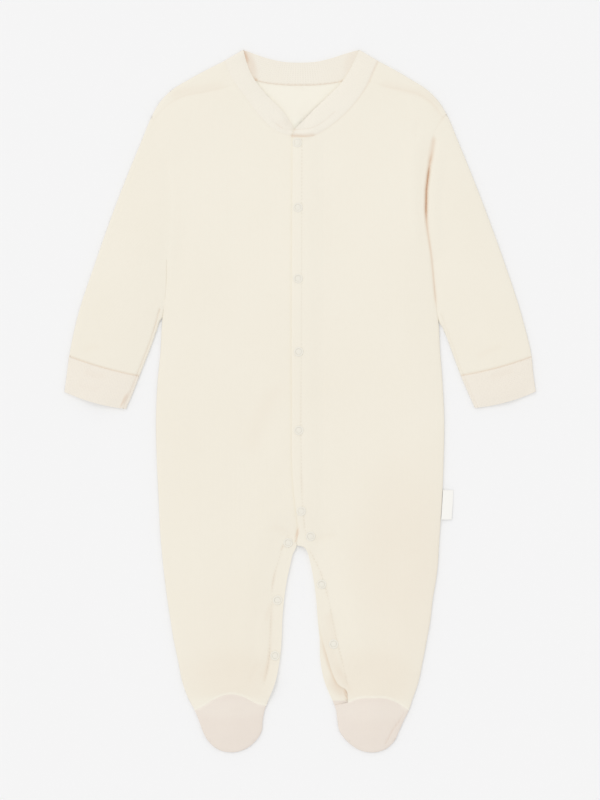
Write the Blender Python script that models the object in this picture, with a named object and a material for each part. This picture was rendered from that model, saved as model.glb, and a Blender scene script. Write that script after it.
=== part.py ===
"""Footed baby sleepsuit for 3 to 6 months, laid flat on its back with the arms a little out.

The suit lies in the XY plane, head end towards +Y, wearer's left towards +X, back on Z = 0.
Every piece of cloth is a wall of its real thickness. The upper layer follows one height
function and the lower layer another; they meet in a rounded edge all round the outline.
All sizes in the tables are millimetres, taken from the middle of the laid-out suit.
"""

from collections import namedtuple

import bmesh
import bpy
import numpy as np

MM = 0.001

# Cloth and seams.
CLOTH = 1.5          # jersey of the body, sleeves and feet
RIB = 1.8            # doubled rib of the cuffs and the neckband
SEAM_GAP = 0.7       # between the cut edges of two pieces along a seam
LIFT_GAP = 0.3       # between a layer and what lies on it
SEAM_INSET = SEAM_GAP / 2
EDGE_INSET = CLOTH / 2 + SEAM_INSET   # from the outline to the middle of a wall standing on edge

# Cross-section of the laid-out suit: a rounded nose at the outline, then a low dome.
SEAM_HEIGHT = 2.6    # middle of the side seams above the floor
NOSE = 2.2           # radius of the rounded edge above the seam
DOME = 1.4           # further rise of the upper layer
DOME_RUN = 32.0      # how far from the edge it takes
FOLD_MARGIN = 9.0    # folds die out over this distance from the edge
LAP_START = 5.0      # flat strip along the inner legs, where the snaps close
LAP_RUN = 30.0
LAP_RISE = 0.08      # share of nose and dome that is left there
PLACKET_LIFT = 2.1   # the wearer's left front lies this much higher where it laps
PLACKET_EDGE = 5.0   # the lift is whole up to here, left of the middle
PLACKET_FADE = 16.0  # and is gone this much further on
PLACKET_FOOT = -137.5
PLACKET_FOOT_FADE = 16.0
PLACKET_HEAD = 262.0
PLACKET_HEAD_FADE = 26.0

# Snaps and label.
SNAP_RADIUS = 3.9
SNAP_HOLE = 2.3
SNAP_HEIGHT = 1.0
SNAP_WELL = 0.45
SNAP_SIDES = 12
LABEL_WALL = 0.9
LABEL_TOP_Y = -76.0
LABEL_BOTTOM_Y = -101.5
LABEL_REACH = 9.0
LABEL_DROOP = 1.0    # its outer edge lies this much lower than its seam edge

# How finely the pieces are divided.
LEG_ROWS = 11
BODY_ROWS = 28
BACK_ROWS = 24
YOKE_ROWS = 9
BODY_COLUMNS = 4
SLEEVE_HEAD_ROWS = 5
SLEEVE_ROWS = 9
SLEEVE_COLUMNS = 8
CUFF_ROWS = 4
BAND_STATIONS = 12
FOOT_ROWS = 3
FOOT_COLUMNS = 5
EDGE_PLACES = (0.0, 0.64, 2.2, 7.0)
LAP_PLACES = (0.0, 9.0, 20.0)
TOE_PLACES = (0.0, 1.3, 5.0)
PLAIN_END = (0.0,)
FADE_PLACES = (0.0, 0.08, 0.25, 0.75, 0.92, 1.0)
PLAIN_FADES = (0.3, 0.3, 0.3)
FOOT_FADES = (0.02, 0.5, 0.02)
CAP_FADES = (1.0, 1.0, 0.2)
GUIDE_FADES = (1.0, 1.0, 4.0)
BAND_COLUMNS = 4

JERSEY_COLOUR = (0.87, 0.83, 0.73)
RIB_COLOUR = (0.86, 0.79, 0.69)
FOOT_COLOUR = (0.82, 0.74, 0.65)
SNAP_COLOUR = (0.80, 0.77, 0.68)
LABEL_COLOUR = (0.92, 0.91, 0.88)

# Outline of body and legs: side seams and inner-leg edges at heights up the suit.
Section = namedtuple("Section", "y side_right inseam_right inseam_left side_left")
LEGS = (
    Section(-256.0, -94.5, -27.3, 27.9, 95.7),
    Section(-242.0, -99.9, -21.7, 21.8, 100.6),
    Section(-221.0, -104.3, -17.3, 17.4, 105.1),
    Section(-204.0, -107.9, -15.7, 16.9, 108.4),
    Section(-187.0, -110.6, -15.1, 15.3, 111.4),
    Section(-170.0, -113.2, -13.6, 14.0, 113.3),
    Section(-153.0, -115.4, -11.2, 11.8, 116.2),
    Section(-140.0, -116.9, -8.3, 9.3, 117.8),
    Section(-130.0, -117.9, -5.9, 6.7, 118.4),
    Section(-125.5, -118.3, -3.6, 2.6, 118.6),
    Section(-123.5, -118.5, -2.5, -2.5, 118.7),
)
Side = namedtuple("Side", "y right left")
SIDES = (
    Side(-84.0, -120.7, 121.4),
    Side(-50.0, -122.3, 122.7),
    Side(-16.0, -123.0, 123.2),
    Side(18.0, -121.5, 121.6),
    Side(44.0, -119.0, 119.6),
    Side(65.0, -118.0, 118.6),
    Side(78.0, -117.0, 117.2),
    Side(98.0, -115.0, 115.5),
    Side(119.0, -114.5, 114.0),
)
CROTCH = (-2.5, -123.5)
BACK_NECK_Y = 270.0
BODY_MIDDLE = (0.0, 100.0)
UNDERARM_Y = 119.0

# Edges and seams of the wearer's right and left side, each a curve through a few places.
Curves = namedtuple("Curves", "right left")
SHOULDER_TIP = Curves((-126.0, 244.3), (125.1, 245.2))
CUFF_SEAM = Curves(((-197.1, 38.3), (-137.2, 21.4)), ((197.8, 37.8), (137.4, 21.8)))
CUFF_MOUTH = Curves(((-201.1, 8.5), (-148.8, -6.8)), ((201.3, 9.0), (149.6, -6.0)))
CUFF_SEAM_BOW = -1.5
CUFF_MOUTH_BOW = -2.1
MOUTH_REACH = 40.0   # the edges beside an open mouth run on this far past it
ARM_OUTER = Curves(
    ((-64.5, 290.5), (-74.6, 285.5), (-93.6, 275.3), (-110.8, 264.6), (-120.2, 254.6), SHOULDER_TIP.right,
     (-135.3, 222.3), (-155.8, 171.4), (-174.1, 120.4), (-190.8, 68.8), CUFF_SEAM.right[0], (-198.9, 23.9),
     CUFF_MOUTH.right[0]),
    ((66.5, 290.5), (76.5, 285.3), (93.4, 275.5), (110.5, 264.2), (119.6, 254.3), SHOULDER_TIP.left,
     (135.3, 221.3), (155.4, 171.0), (174.0, 120.2), (190.6, 68.7), CUFF_SEAM.left[0], (199.1, 23.9),
     CUFF_MOUTH.left[0]),
)
ARM_INNER = Curves(
    ((-114.5, 119.0), (-115.0, 98.0), (-117.5, 78.0), (-125.5, 51.5), (-132.0, 34.4), CUFF_SEAM.right[1],
     (-142.3, 8.5), CUFF_MOUTH.right[1]),
    ((114.0, 119.0), (115.5, 98.0), (118.2, 74.0), (127.0, 50.0), (132.5, 34.6), CUFF_SEAM.left[1],
     (142.9, 9.0), CUFF_MOUTH.left[1]),
)
SLEEVE_GUIDE = Curves(
    ((-141.5, 212.0), (-136.0, 188.0), (-131.0, 160.0), (-128.5, 130.0), (-127.0, 104.0), (-122.5, 91.0),
     (-116.4, 88.0)),
    ((141.5, 210.5), (135.5, 188.0), (130.5, 160.0), (128.5, 130.0), (127.5, 104.0), (123.0, 91.0),
     (116.6, 88.0)),
)
ARMHOLE = Curves(
    ((-114.5, 119.0), (-111.0, 142.0), (-110.5, 172.0), (-114.5, 198.0), (-122.0, 224.0), SHOULDER_TIP.right),
    ((114.0, 119.0), (109.5, 141.0), (106.5, 168.0), (108.5, 201.0), (112.5, 223.0), (118.0, 236.0),
     SHOULDER_TIP.left),
)
SHOULDER_SEAM = Curves(
    ((-54.5, 270.0), (-66.0, 267.0), (-82.0, 263.5), (-98.0, 260.5), (-111.0, 254.0), (-125.0, 239.5)),
    ((59.0, 273.0), (72.5, 268.5), (89.0, 265.0), (103.5, 260.5), (113.5, 253.0), (122.3, 241.6)),
)
FOOT_OUTLINE = Curves(
    ((-90.3, -263.7), (-86.4, -272.7), (-83.4, -281.2), (-79.0, -289.6), (-70.4, -297.4), (-60.0, -300.1),
     (-48.6, -298.1), (-37.8, -290.2), (-32.7, -281.5), (-31.9, -272.8), (-30.2, -264.0), (-27.3, -256.0)),
    ((93.1, -264.0), (88.7, -272.7), (84.9, -281.2), (80.5, -290.5), (73.2, -297.2), (64.0, -300.1),
     (51.6, -298.4), (40.2, -290.6), (33.5, -281.2), (32.0, -272.9), (30.8, -263.9), (27.9, -256.0)),
)
FOOT_SEAM = Curves(
    ((-29.0, -260.5), (-37.5, -258.0), (-48.5, -252.5), (-60.0, -250.5), (-70.0, -253.0), (-82.0, -260.0),
     (-90.5, -264.3)),
    ((29.5, -260.0), (41.0, -257.5), (49.0, -254.5), (61.5, -253.5), (73.5, -254.0), (82.0, -257.0),
     (93.0, -264.0)),
)
TOE = Curves(((-37.5, -288.5), (-80.0, -288.0)), ((39.5, -289.0), (82.0, -288.5)))

# Free edge of each front: up the inner leg, through the crotch and up the placket to the neck.
FRONT_LEG_EDGE = Curves(
    ((-29.0, -260.5), (-27.3, -256.0), (-21.7, -242.0), (-17.3, -221.0), (-15.7, -204.0), (-15.1, -187.0),
     (-13.6, -170.0), (-11.2, -153.0), (-8.3, -140.0), (-5.9, -130.0), (-3.0, -124.5)),
    ((41.0, -257.5), (39.5, -247.0), (33.0, -242.5), (28.0, -233.0), (24.0, -220.5), (19.8, -206.0),
     (15.8, -190.0), (14.0, -170.0), (11.8, -153.0), (9.3, -140.0), (6.7, -130.0), (2.6, -125.5), (-2.0, -124.5)),
)
FRONT_ANKLE = Curves(FOOT_SEAM.right, FOOT_SEAM.left[1:])
PLACKET_LINE = Curves(
    ((-3.0, -124.5), (1.0, -115.0), (2.5, -100.0), (2.5, 0.0), (2.5, 225.5)),
    ((-2.0, -124.5), (-4.8, -119.5), (-3.6, -111.0), (-4.8, -94.0), (-6.5, -67.0), (-7.0, 0.0), (-6.5, 226.0)),
)
NECKLINE = Curves(
    ((2.5, 225.5), (-7.0, 226.5), (-16.0, 229.0), (-25.0, 234.0), (-38.5, 248.5), (-46.0, 259.0), (-54.5, 270.0)),
    ((-6.5, 226.0), (11.0, 226.5), (24.0, 233.5), (39.0, 246.0), (50.0, 258.5), (59.0, 273.0)),
)
YOKE_START_Y = 172.0        # on the armhole, the row that starts at the placket's top corner
BACK_YOKE_START_Y = 232.0   # on the armhole, the row that starts at the middle of the back neck
BACK_NECKLINE = Curves(
    ((0.0, BACK_NECK_Y), (-17.0, 270.5), (-36.0, 273.5), (-51.5, 280.5), (-64.5, 290.5)),
    ((0.0, BACK_NECK_Y), (17.0, 270.5), (36.0, 273.5), (53.0, 281.0), (66.5, 290.5)),
)

# The neckband, from its seam to its free edge: each front end up to the fold, and the back.
Band = namedtuple("Band", "seam_x seam_y free_x free_y")
BAND_FRONT = Curves(
    (Band(2.0, 226.0, 2.0, 230.0), Band(-7.0, 226.5, -4.5, 232.5), Band(-16.0, 229.0, -9.0, 240.0),
     Band(-25.0, 234.0, -15.0, 248.0), Band(-38.5, 248.5, -26.0, 259.0), Band(-46.0, 259.0, -34.0, 268.0),
     Band(-54.5, 270.0, -41.0, 278.0), Band(-60.0, 280.0, -45.5, 289.0), Band(-64.5, 290.5, -48.5, 300.0)),
    (Band(-6.5, 226.0, -4.0, 232.5), Band(11.0, 226.5, 3.5, 240.0), Band(24.0, 233.5, 12.5, 249.5),
     Band(39.0, 246.0, 25.5, 262.0), Band(50.0, 258.5, 34.5, 271.0), Band(59.0, 273.0, 41.5, 281.0),
     Band(62.5, 281.5, 46.0, 290.0), Band(66.5, 290.5, 50.5, 300.0)),
)
BAND_BACK = (
    Band(-64.5, 290.5, -48.5, 300.0), Band(-51.5, 280.5, -36.5, 295.5), Band(-36.0, 273.5, -25.5, 292.0),
    Band(-17.0, 270.5, -13.0, 289.5), Band(0.0, 270.0, 0.0, 289.0), Band(17.0, 270.5, 13.5, 289.7),
    Band(36.0, 273.5, 26.0, 292.5), Band(53.0, 281.0, 38.5, 296.5), Band(66.5, 290.5, 50.5, 300.0),
)

# The largest folds: ridges and troughs of the upper layer, along a curve through three places.
Fold = namedtuple("Fold", "name x0 y0 x1 y1 x2 y2 rise half_width")
FOLDS = (
    Fold("left armpit crease", 113.5, 230.0, 106.0, 168.0, 115.0, 100.0, -2.6, 3.6),
    Fold("left armpit ridge, sleeve side", 119.0, 224.0, 113.5, 170.0, 117.0, 125.0, 1.3, 6.0),
    Fold("left armpit ridge, body side", 100.0, 234.0, 98.5, 185.0, 103.0, 130.0, 1.1, 7.0),
    Fold("right armpit trough", -118.0, 218.0, -109.5, 165.0, -112.5, 118.0, -1.1, 7.0),
    Fold("right body hollow", -101.0, 160.0, -101.5, 130.0, -103.0, 100.0, -0.8, 6.0),
    Fold("left leg gape", 42.0, -250.0, 34.0, -236.0, 25.0, -212.0, 1.6, 6.0),
    Fold("right leg pucker", -33.0, -228.0, -31.0, -205.0, -33.0, -180.0, 0.9, 5.0),
    Fold("left leg drag line", 62.0, -235.0, 52.0, -205.0, 36.0, -165.0, 0.8, 8.0),
    Fold("seat drag line", -40.0, -95.0, -24.0, -60.0, -14.0, -15.0, 0.7, 9.0),
    Fold("right foot swell", -60.0, -254.0, -60.0, -274.0, -58.0, -294.0, 1.0, 15.0),
    Fold("left foot swell", 62.0, -256.0, 62.0, -275.0, 64.0, -294.0, 1.0, 15.0),
    Fold("right cuff mouth", -204.0, 10.0, -176.0, -3.0, -146.0, -8.0, -0.9, 8.0),
    Fold("left cuff mouth", 204.0, 10.0, 176.0, -3.0, 146.0, -8.0, -0.9, 8.0),
)
FOLD_ENDS = 0.22     # share of its length over which a fold rises or dies out

Snap = namedtuple("Snap", "name x y front")
SNAPS = (
    Snap("snap_front_1", -2.3, 220.5, "left"),
    Snap("snap_front_2", -1.7, 165.0, "left"),
    Snap("snap_front_3", -1.7, 104.5, "left"),
    Snap("snap_front_4", -1.2, 42.0, "left"),
    Snap("snap_front_5", -1.0, -25.0, "left"),
    Snap("snap_front_6", 1.0, -94.0, "left"),
    Snap("snap_leg_left_1", 9.0, -115.5, "left"),
    Snap("snap_leg_left_2", 18.5, -156.5, "left"),
    Snap("snap_leg_left_3", 28.7, -207.5, "left"),
    Snap("snap_leg_right_1", -10.2, -121.0, "right"),
    Snap("snap_leg_right_2", -19.2, -170.0, "right"),
    Snap("snap_leg_right_3", -21.4, -217.5, "right"),
)


# ---------------------------------------------------------------- curves

def read_curve(at, values, wanted):
    """Reads a smooth curve that passes through `values` at the places `at`."""
    slopes = np.gradient(values, at, axis=0)
    span = np.clip(np.searchsorted(at, wanted, side="right") - 1, 0, len(at) - 2)
    width = (at[span + 1] - at[span])[:, None]
    t = (wanted[:, None] - at[span][:, None]) / width
    return (
        values[span] * (1 + 2 * t) * (1 - t) ** 2
        + slopes[span] * width * t * (1 - t) ** 2
        + values[span + 1] * t ** 2 * (3 - 2 * t)
        + slopes[span + 1] * width * t ** 2 * (t - 1)
    )


def lengths_along(points):
    """Distance from the first point to each point, along the points."""
    steps = np.linalg.norm(np.diff(points, axis=0), axis=1)
    return np.concatenate([[0.0], np.cumsum(steps)])


def smooth(points, fractions):
    """The places at these fractions of the length of a smooth curve through the points."""
    points = np.asarray(points, float)
    at = lengths_along(points)
    fine = read_curve(at, points, np.linspace(0.0, at[-1], 12 * len(points)))
    along = lengths_along(fine)
    wanted = np.asarray(fractions, float) * along[-1]
    return np.stack([np.interp(wanted, along, fine[:, axis]) for axis in range(points.shape[1])], axis=1)


def evenly(points, count):
    return smooth(points, np.linspace(0.0, 1.0, count))


def inset(line, amount, towards):
    """Moves a line sideways, to the side on which the place `towards` lies."""
    along = np.gradient(line, axis=0)
    side = np.stack([-along[:, 1], along[:, 0]], axis=1)
    side /= np.linalg.norm(side, axis=1)[:, None]
    middle = len(line) // 2
    if np.dot(side[middle], np.asarray(towards) - line[middle]) < 0:
        side = -side
    return line + side * np.reshape(amount, (-1, 1))


def nearest(line, place):
    return int(np.argmin(np.linalg.norm(line - np.asarray(place), axis=1)))


def between(line, start, end):
    """The stretch of a line from the point nearest one place to the point nearest another."""
    first = nearest(line, start)
    last = nearest(line, end)
    return line[first:last + 1] if first <= last else line[last:first + 1][::-1]


def crossing(line, other):
    """The point of one line that lies nearest another line."""
    return line[np.argmin(distance_to([other], line[:, 0], line[:, 1]))]


def distance_to(lines, x, y):
    """Distance in the plane from each place to the nearest of some lines."""
    best = np.full(np.shape(x), np.inf)
    for line in lines:
        for start, end in zip(line[:-1], line[1:]):
            step = end - start
            t = ((x - start[0]) * step[0] + (y - start[1]) * step[1]) / (step @ step)
            t = np.clip(t, 0.0, 1.0)
            best = np.minimum(best, np.hypot(x - start[0] - t * step[0], y - start[1] - t * step[1]))
    return best


def soft_step(value):
    value = np.clip(value, 0.0, 1.0)
    return value * value * (3.0 - 2.0 * value)


# ---------------------------------------------------------------- outline

def arm_middle(side):
    return (150.0 if side == "left" else -150.0, 120.0)


def arm_edge(side, table):
    """Outer or inner edge of the arm at the middle of its standing wall, run on past the mouth."""
    points = np.array(getattr(table, side))
    last = points[-1] - points[-2]
    points = np.vstack([points, points[-1] + last / np.linalg.norm(last) * MOUTH_REACH])
    return inset(evenly(points, 1200), EDGE_INSET, arm_middle(side))


def body_edge(side):
    """Side seam from the underarm down to the ankle, and on round the foot to the inner ankle."""
    down = [(getattr(row, side), row.y) for row in reversed(SIDES)]
    down += [(getattr(row, "side_" + side), row.y) for row in reversed(LEGS)]
    points = np.array(down + list(getattr(FOOT_OUTLINE, side)))
    return inset(evenly(points, 1600), EDGE_INSET, (0.0, 0.0))


def inseam(side):
    return np.array([(getattr(row, "inseam_" + side), row.y) for row in LEGS])


def neck_fold(side):
    """The short fold where the neckband turns from the upper layer to the lower."""
    row = getattr(BAND_FRONT, side)[-1]
    line = np.array([(row.seam_x, row.seam_y), (row.free_x, row.free_y)])
    return inset(line, EDGE_INSET, (0.0, 270.0))


def armhole(side, towards):
    """The armhole seam, drawn in for a flat wall and, at the underarm, for a standing one."""
    line = evenly(getattr(ARMHOLE, side), 480)
    above = np.linalg.norm(line - line[0], axis=1)
    amount = SEAM_INSET + (EDGE_INSET - SEAM_INSET) * np.clip(1.0 - above / NOSE, 0.0, 1.0)
    return inset(line, amount, towards)


def outer_boundary(side):
    """Outer boundary of the body: round the foot, up the side seam, then up the armhole."""
    return np.vstack([body_edge(side)[::-1], armhole(side, BODY_MIDDLE)[1:]])


SIDE_NAMES = ("right", "left")
SLOPE_STEP = 0.02
STEEPEST_LEAN = 0.87
ROUND_EDGES = [arm_edge(side, ARM_OUTER)[::16] for side in SIDE_NAMES]
ROUND_EDGES += [arm_edge(side, ARM_INNER)[::16] for side in SIDE_NAMES]
ROUND_EDGES += [body_edge(side)[::12] for side in SIDE_NAMES]
ROUND_EDGES += [neck_fold(side) for side in SIDE_NAMES]
LAP_EDGES = [evenly(inseam(side)[2:], 24) for side in SIDE_NAMES]


# ---------------------------------------------------------------- height of the two layers

def fold_height(x, y):
    """Sum of the ridges and troughs, each full along its middle and gone at its ends."""
    total = np.zeros(np.shape(x))
    for fold in FOLDS:
        line = evenly([(fold.x0, fold.y0), (fold.x1, fold.y1), (fold.x2, fold.y2)], 12)
        away = distance_to([line], x, y)
        chord = line[-1] - line[0]
        part = ((x - line[0][0]) * chord[0] + (y - line[0][1]) * chord[1]) / (chord @ chord)
        ends = soft_step(part / FOLD_ENDS) * soft_step((1.0 - part) / FOLD_ENDS)
        total += fold.rise * np.exp(-((away / fold.half_width) ** 2)) * ends
    return total


def placket_share(x, y):
    """1 where the wearer's left front lies on the right one, 0 well to the side of it."""
    across = soft_step((PLACKET_EDGE + PLACKET_FADE - x) / PLACKET_FADE)
    above_leg = soft_step((y - PLACKET_FOOT) / PLACKET_FOOT_FADE)
    below_neck = soft_step((PLACKET_HEAD - y) / PLACKET_HEAD_FADE)
    return across * above_leg * below_neck


def upper_height(x, y):
    """Height of the middle of the upper layer: seam height, nose, dome, folds and lap."""
    away = distance_to(ROUND_EDGES, x, y)
    nose = NOSE * np.sqrt(1.0 - (1.0 - np.clip(away / NOSE, 0.0, 1.0)) ** 2)
    dome = DOME * np.sin(0.5 * np.pi * np.clip(away / DOME_RUN, 0.0, 1.0))
    loose = soft_step((distance_to(LAP_EDGES, x, y) - LAP_START) / LAP_RUN)
    height = SEAM_HEIGHT + (nose + dome) * (LAP_RISE + (1.0 - LAP_RISE) * loose)
    return np.maximum(height + fold_height(x, y) * soft_step(away / FOLD_MARGIN), SEAM_HEIGHT)


def lapping_height(x, y):
    """Height of the wearer's left front, which laps over the right one down the middle."""
    return upper_height(x, y) + PLACKET_LIFT * placket_share(x, y)


def lower_height(x, y):
    return lower_height_of(x, y, CLOTH)


def lower_rib_height(x, y):
    return lower_height_of(x, y, RIB)


def lower_height_of(x, y, thickness):
    """Height of the middle of the lower layer: on the floor, turned up to the seam at the edge."""
    turn = SEAM_HEIGHT - thickness / 2
    away = distance_to(ROUND_EDGES, x, y)
    return SEAM_HEIGHT - turn * np.sqrt(1.0 - (1.0 - np.clip(away / turn, 0.0, 1.0)) ** 2)


def raised(grid, height):
    return np.concatenate([grid, height[..., None]], axis=2)


def layer(grid, height):
    """Points of a layer above the places of a grid, and its upward normals, from a height function."""
    x, y = grid[..., 0], grid[..., 1]
    slope_x = (height(x + SLOPE_STEP, y) - height(x - SLOPE_STEP, y)) / (2 * SLOPE_STEP)
    slope_y = (height(x, y + SLOPE_STEP) - height(x, y - SLOPE_STEP)) / (2 * SLOPE_STEP)
    normal = np.stack([-slope_x, -slope_y, np.ones(x.shape)], axis=2)
    return raised(grid, height(x, y)), normal / np.linalg.norm(normal, axis=2)[..., None]


def level_normals(line, inside):
    """Level normals along a standing edge, pointing away from a place inside the piece."""
    along = directions(line[:, :2])
    across = np.stack([-along[:, 1], along[:, 0], np.zeros(len(line))], axis=1)
    outward = ((line[:, :2] - inside) * across[:, :2]).sum(axis=1)
    return across * np.sign(outward)[:, None]


# ---------------------------------------------------------------- plans of the panels

def places(length, near_start, near_end, middle):
    """Distances along a line: close together at its ends, even in between."""
    start = np.asarray(near_start)
    end = length - np.asarray(near_end)[::-1]
    return np.concatenate([start, np.linspace(start[-1], end[0], middle + 2)[1:-1], end])


def stations(line, near_start, near_end, middle):
    length = lengths_along(line)[-1]
    return smooth(line, places(length, near_start, near_end, middle) / length)


def plan(starts, ends, near_start, near_end, middle, first=None, last=None,
         first_fades=PLAIN_FADES, last_fades=PLAIN_FADES):
    """Grid of places in rows from `starts` to `ends`.

    The first and last rows can follow curves of their own. Their bend fades out over a share
    of the rows: one share near the starts, one in the middle and one near the ends.
    """
    rows = []
    share = lengths_along((starts + ends) / 2)
    for start, end, along in zip(starts, ends, share / share[-1]):
        length = np.linalg.norm(end - start)
        fractions = places(length, near_start, near_end, middle) / length
        row = start + (end - start) * fractions[:, None]
        for curve, far, fades in ((first, along, first_fades), (last, 1.0 - along, last_fades)):
            if curve is not None:
                fade = np.interp(fractions, FADE_PLACES, np.repeat(fades, 2))
                bent = smooth(curve, fractions)
                chord = bent[0] + (bent[-1] - bent[0]) * fractions[:, None]
                row = row + (bent - chord) * (1.0 - soft_step(far / fade))[:, None]
        rows.append(row)
    return np.array(rows)


def pulled_in(grid, row, amount=SEAM_INSET):
    """Moves the first (0) or last (-1) row of a grid towards the row beside it."""
    step = grid[1 if row == 0 else -2] - grid[row]
    grid[row] += step / np.linalg.norm(step, axis=1)[:, None] * amount


def joined(*blocks):
    """Blocks of rows, each starting with the row that ended the one before."""
    return np.concatenate([blocks[0]] + [block[1:] for block in blocks[1:]])


def bowed(start, end, bow, count=9):
    """A shallow arc from one place to another, `bow` to the left of its chord at the middle."""
    start, end = np.asarray(start), np.asarray(end)
    across = (end - start) / np.linalg.norm(end - start)
    share = np.linspace(0.0, 1.0, count)[:, None]
    return start + (end - start) * share + np.array([-across[1], across[0]]) * bow * 4 * share * (1 - share)


# ---------------------------------------------------------------- walls

def grid_faces(rows, columns, around=False):
    number = np.arange(rows * columns).reshape(rows, columns)
    if around:
        number = np.concatenate([number, number[:, :1]], axis=1)
    corners = (number[:-1, :-1], number[:-1, 1:], number[1:, 1:], number[1:, :-1])
    return np.stack([corner.ravel() for corner in corners], 1)


def directions(line):
    """Direction of a line at each of its points; where it folds back, that of the stretch before."""
    steps = np.diff(line, axis=0)
    steps /= np.maximum(np.linalg.norm(steps, axis=1), 1e-6)[:, None]
    before = np.vstack([steps[:1], steps])
    both = before + np.vstack([steps, steps[-1:]])
    both[np.linalg.norm(both, axis=1) < 1.0] *= 0.0
    both = np.where(both.any(axis=1)[:, None], both, before)
    return both / np.linalg.norm(both, axis=1)[:, None]


def square_to_edge(normal, line):
    """Takes out of the normals along a cut edge what leans across it, so that seam gaps stay even."""
    along = directions(line[:, :2])
    across = np.stack([-along[:, 1], along[:, 0]], axis=1)
    level = np.abs(normal[:, 2]) < 0.01
    beside = np.concatenate([[False], level[:-1]]) | np.concatenate([level[1:], [False]])
    lean = (normal[:, :2] * across).sum(axis=1)
    lean[(level & beside) | (np.abs(lean) > STEEPEST_LEAN)] = 0.0
    normal[:, :2] -= lean[:, None] * across
    normal /= np.linalg.norm(normal, axis=1)[:, None]


def cloth(name, sheets, thickness, colour, around=False):
    """Makes one piece of cloth, a closed wall, from the points and normals of its middle.

    All sheets run the same way round, and where they share points they are one. The normals
    lie level along an edge that stands on the floor; the other edges are cut square.
    """
    for grid, normal in sheets:
        for row in (0, -1):
            square_to_edge(normal[row], grid[row])
        for column in () if around else (0, -1):
            square_to_edge(normal[:, column], grid[:, column])
    points = np.concatenate([grid.reshape(-1, 3) for grid, _ in sheets])
    normals = np.concatenate([normal.reshape(-1, 3) for _, normal in sheets])
    starts = np.cumsum([0] + [grid.shape[0] * grid.shape[1] for grid, _ in sheets[:-1]])
    faces = [grid_faces(*grid.shape[:2], around) + start for (grid, _), start in zip(sheets, starts)]
    _, first, same = np.unique(np.round(points, 3), axis=0, return_index=True, return_inverse=True)
    summed = np.zeros((len(first), 3))
    np.add.at(summed, same.ravel(), normals)
    summed /= np.linalg.norm(summed, axis=1)[:, None]
    points = points[first]
    faces = same.ravel()[np.concatenate(faces)]
    count = len(points)
    edges = np.concatenate([faces[:, [i, (i + 1) % 4]] for i in range(4)])
    free = ~np.isin(edges @ (count, 1), edges @ (1, count))
    a, b = edges[free].T
    walls = np.concatenate([faces, faces[:, ::-1] + count, np.stack([b, a, a + count, b + count], 1)])
    shells = np.concatenate([points + summed * thickness / 2, points - summed * thickness / 2])
    add_piece(name, shells, walls, colour)


def material(name, colour, roughness):
    made = bpy.data.materials.new(name)
    made.use_nodes = True
    shader = made.node_tree.nodes["Principled BSDF"]
    shader.inputs["Base Color"].default_value = (*colour, 1.0)
    shader.inputs["Roughness"].default_value = roughness
    shader.inputs["Metallic"].default_value = 0.0
    return made


def add_piece(name, points, faces, colour, roughness=0.9):
    """Adds a closed mesh given in millimetres, with its faces pointing out."""
    mesh = bpy.data.meshes.new(name)
    mesh.from_pydata((points * MM).tolist(), [], list(map(list, faces)))
    shape = bmesh.new()
    shape.from_mesh(mesh)
    bmesh.ops.recalc_face_normals(shape, faces=shape.faces)
    shape.to_mesh(mesh)
    shape.free()
    mesh.shade_smooth()
    mesh.set_sharp_from_angle(angle=0.9)
    mesh.materials.append(material(name, colour, roughness))
    bpy.context.scene.collection.objects.link(bpy.data.objects.new(name, mesh))


# ---------------------------------------------------------------- fronts and back

def crotch_level(side):
    return getattr(LEGS[-1], "side_" + side), CROTCH[1]


def on_armhole(side, height):
    """The lowest place on the armhole at or above a height."""
    return next(place for place in armhole(side, BODY_MIDDLE) if place[1] >= height)


def facing_up(points, normals, side):
    """A sheet with its columns running towards +X, so that all sheets run the same way round."""
    return (points[:, ::-1], normals[:, ::-1]) if side == "right" else (points, normals)


def stand_side_seam(points, normals, height):
    """Stands the outer column on edge at a height, from the ankle up to the underarm."""
    seam = points[:, -1, 1] <= UNDERARM_Y
    points[seam, -1, 2] = height
    normals[seam, -1] = level_normals(points[:, -1], BODY_MIDDLE)[seam]


def front(side):
    """One front with its leg: leg, body and yoke, from the foot seam to the shoulder seam."""
    outer = outer_boundary(side)
    ankle = np.array(getattr(FRONT_ANKLE, side))
    shoulder = np.array(getattr(SHOULDER_SEAM, side))
    neck = inset(evenly(getattr(NECKLINE, side), 60), SEAM_INSET, BODY_MIDDLE)
    yoke_start = on_armhole(side, YOKE_START_Y)
    stretches = (
        (getattr(FRONT_LEG_EDGE, side), ankle[-1], crotch_level(side), LEG_ROWS, ankle, None),
        (getattr(PLACKET_LINE, side), crotch_level(side), yoke_start, BODY_ROWS, None, None),
        (neck, yoke_start, shoulder[-1], YOKE_ROWS, None, shoulder),
    )
    blocks = []
    for edge, low, high, rows, first, last in stretches:
        ends = evenly(between(outer, low, high), rows)
        blocks.append(plan(evenly(edge, rows), ends, LAP_PLACES, EDGE_PLACES, BODY_COLUMNS, first, last))
    grid = joined(*blocks)
    pulled_in(grid, 0)
    pulled_in(grid, -1)
    height = lapping_height if side == "left" else upper_height
    points, normals = layer(grid, height)
    stand_side_seam(points, normals, SEAM_HEIGHT + LIFT_GAP / 2)
    cloth("front_" + side, [facing_up(points, normals, side)], CLOTH, JERSEY_COLOUR)


def shoulder_wrap(fold, low, high):
    """Rows round the shoulder fold, from the lower layer to the forward seam, and which are low."""
    near_low = [moved_to(fold, low, away) for away in EDGE_PLACES[2:0:-1]]
    near_high = [moved_to(fold, high, away) for away in EDGE_PLACES[1:3]]
    rows = near_low + [fold] + near_high + [(near_high[-1] + high) / 2, high]
    return np.array(rows), np.arange(len(rows)) <= len(near_low)


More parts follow.
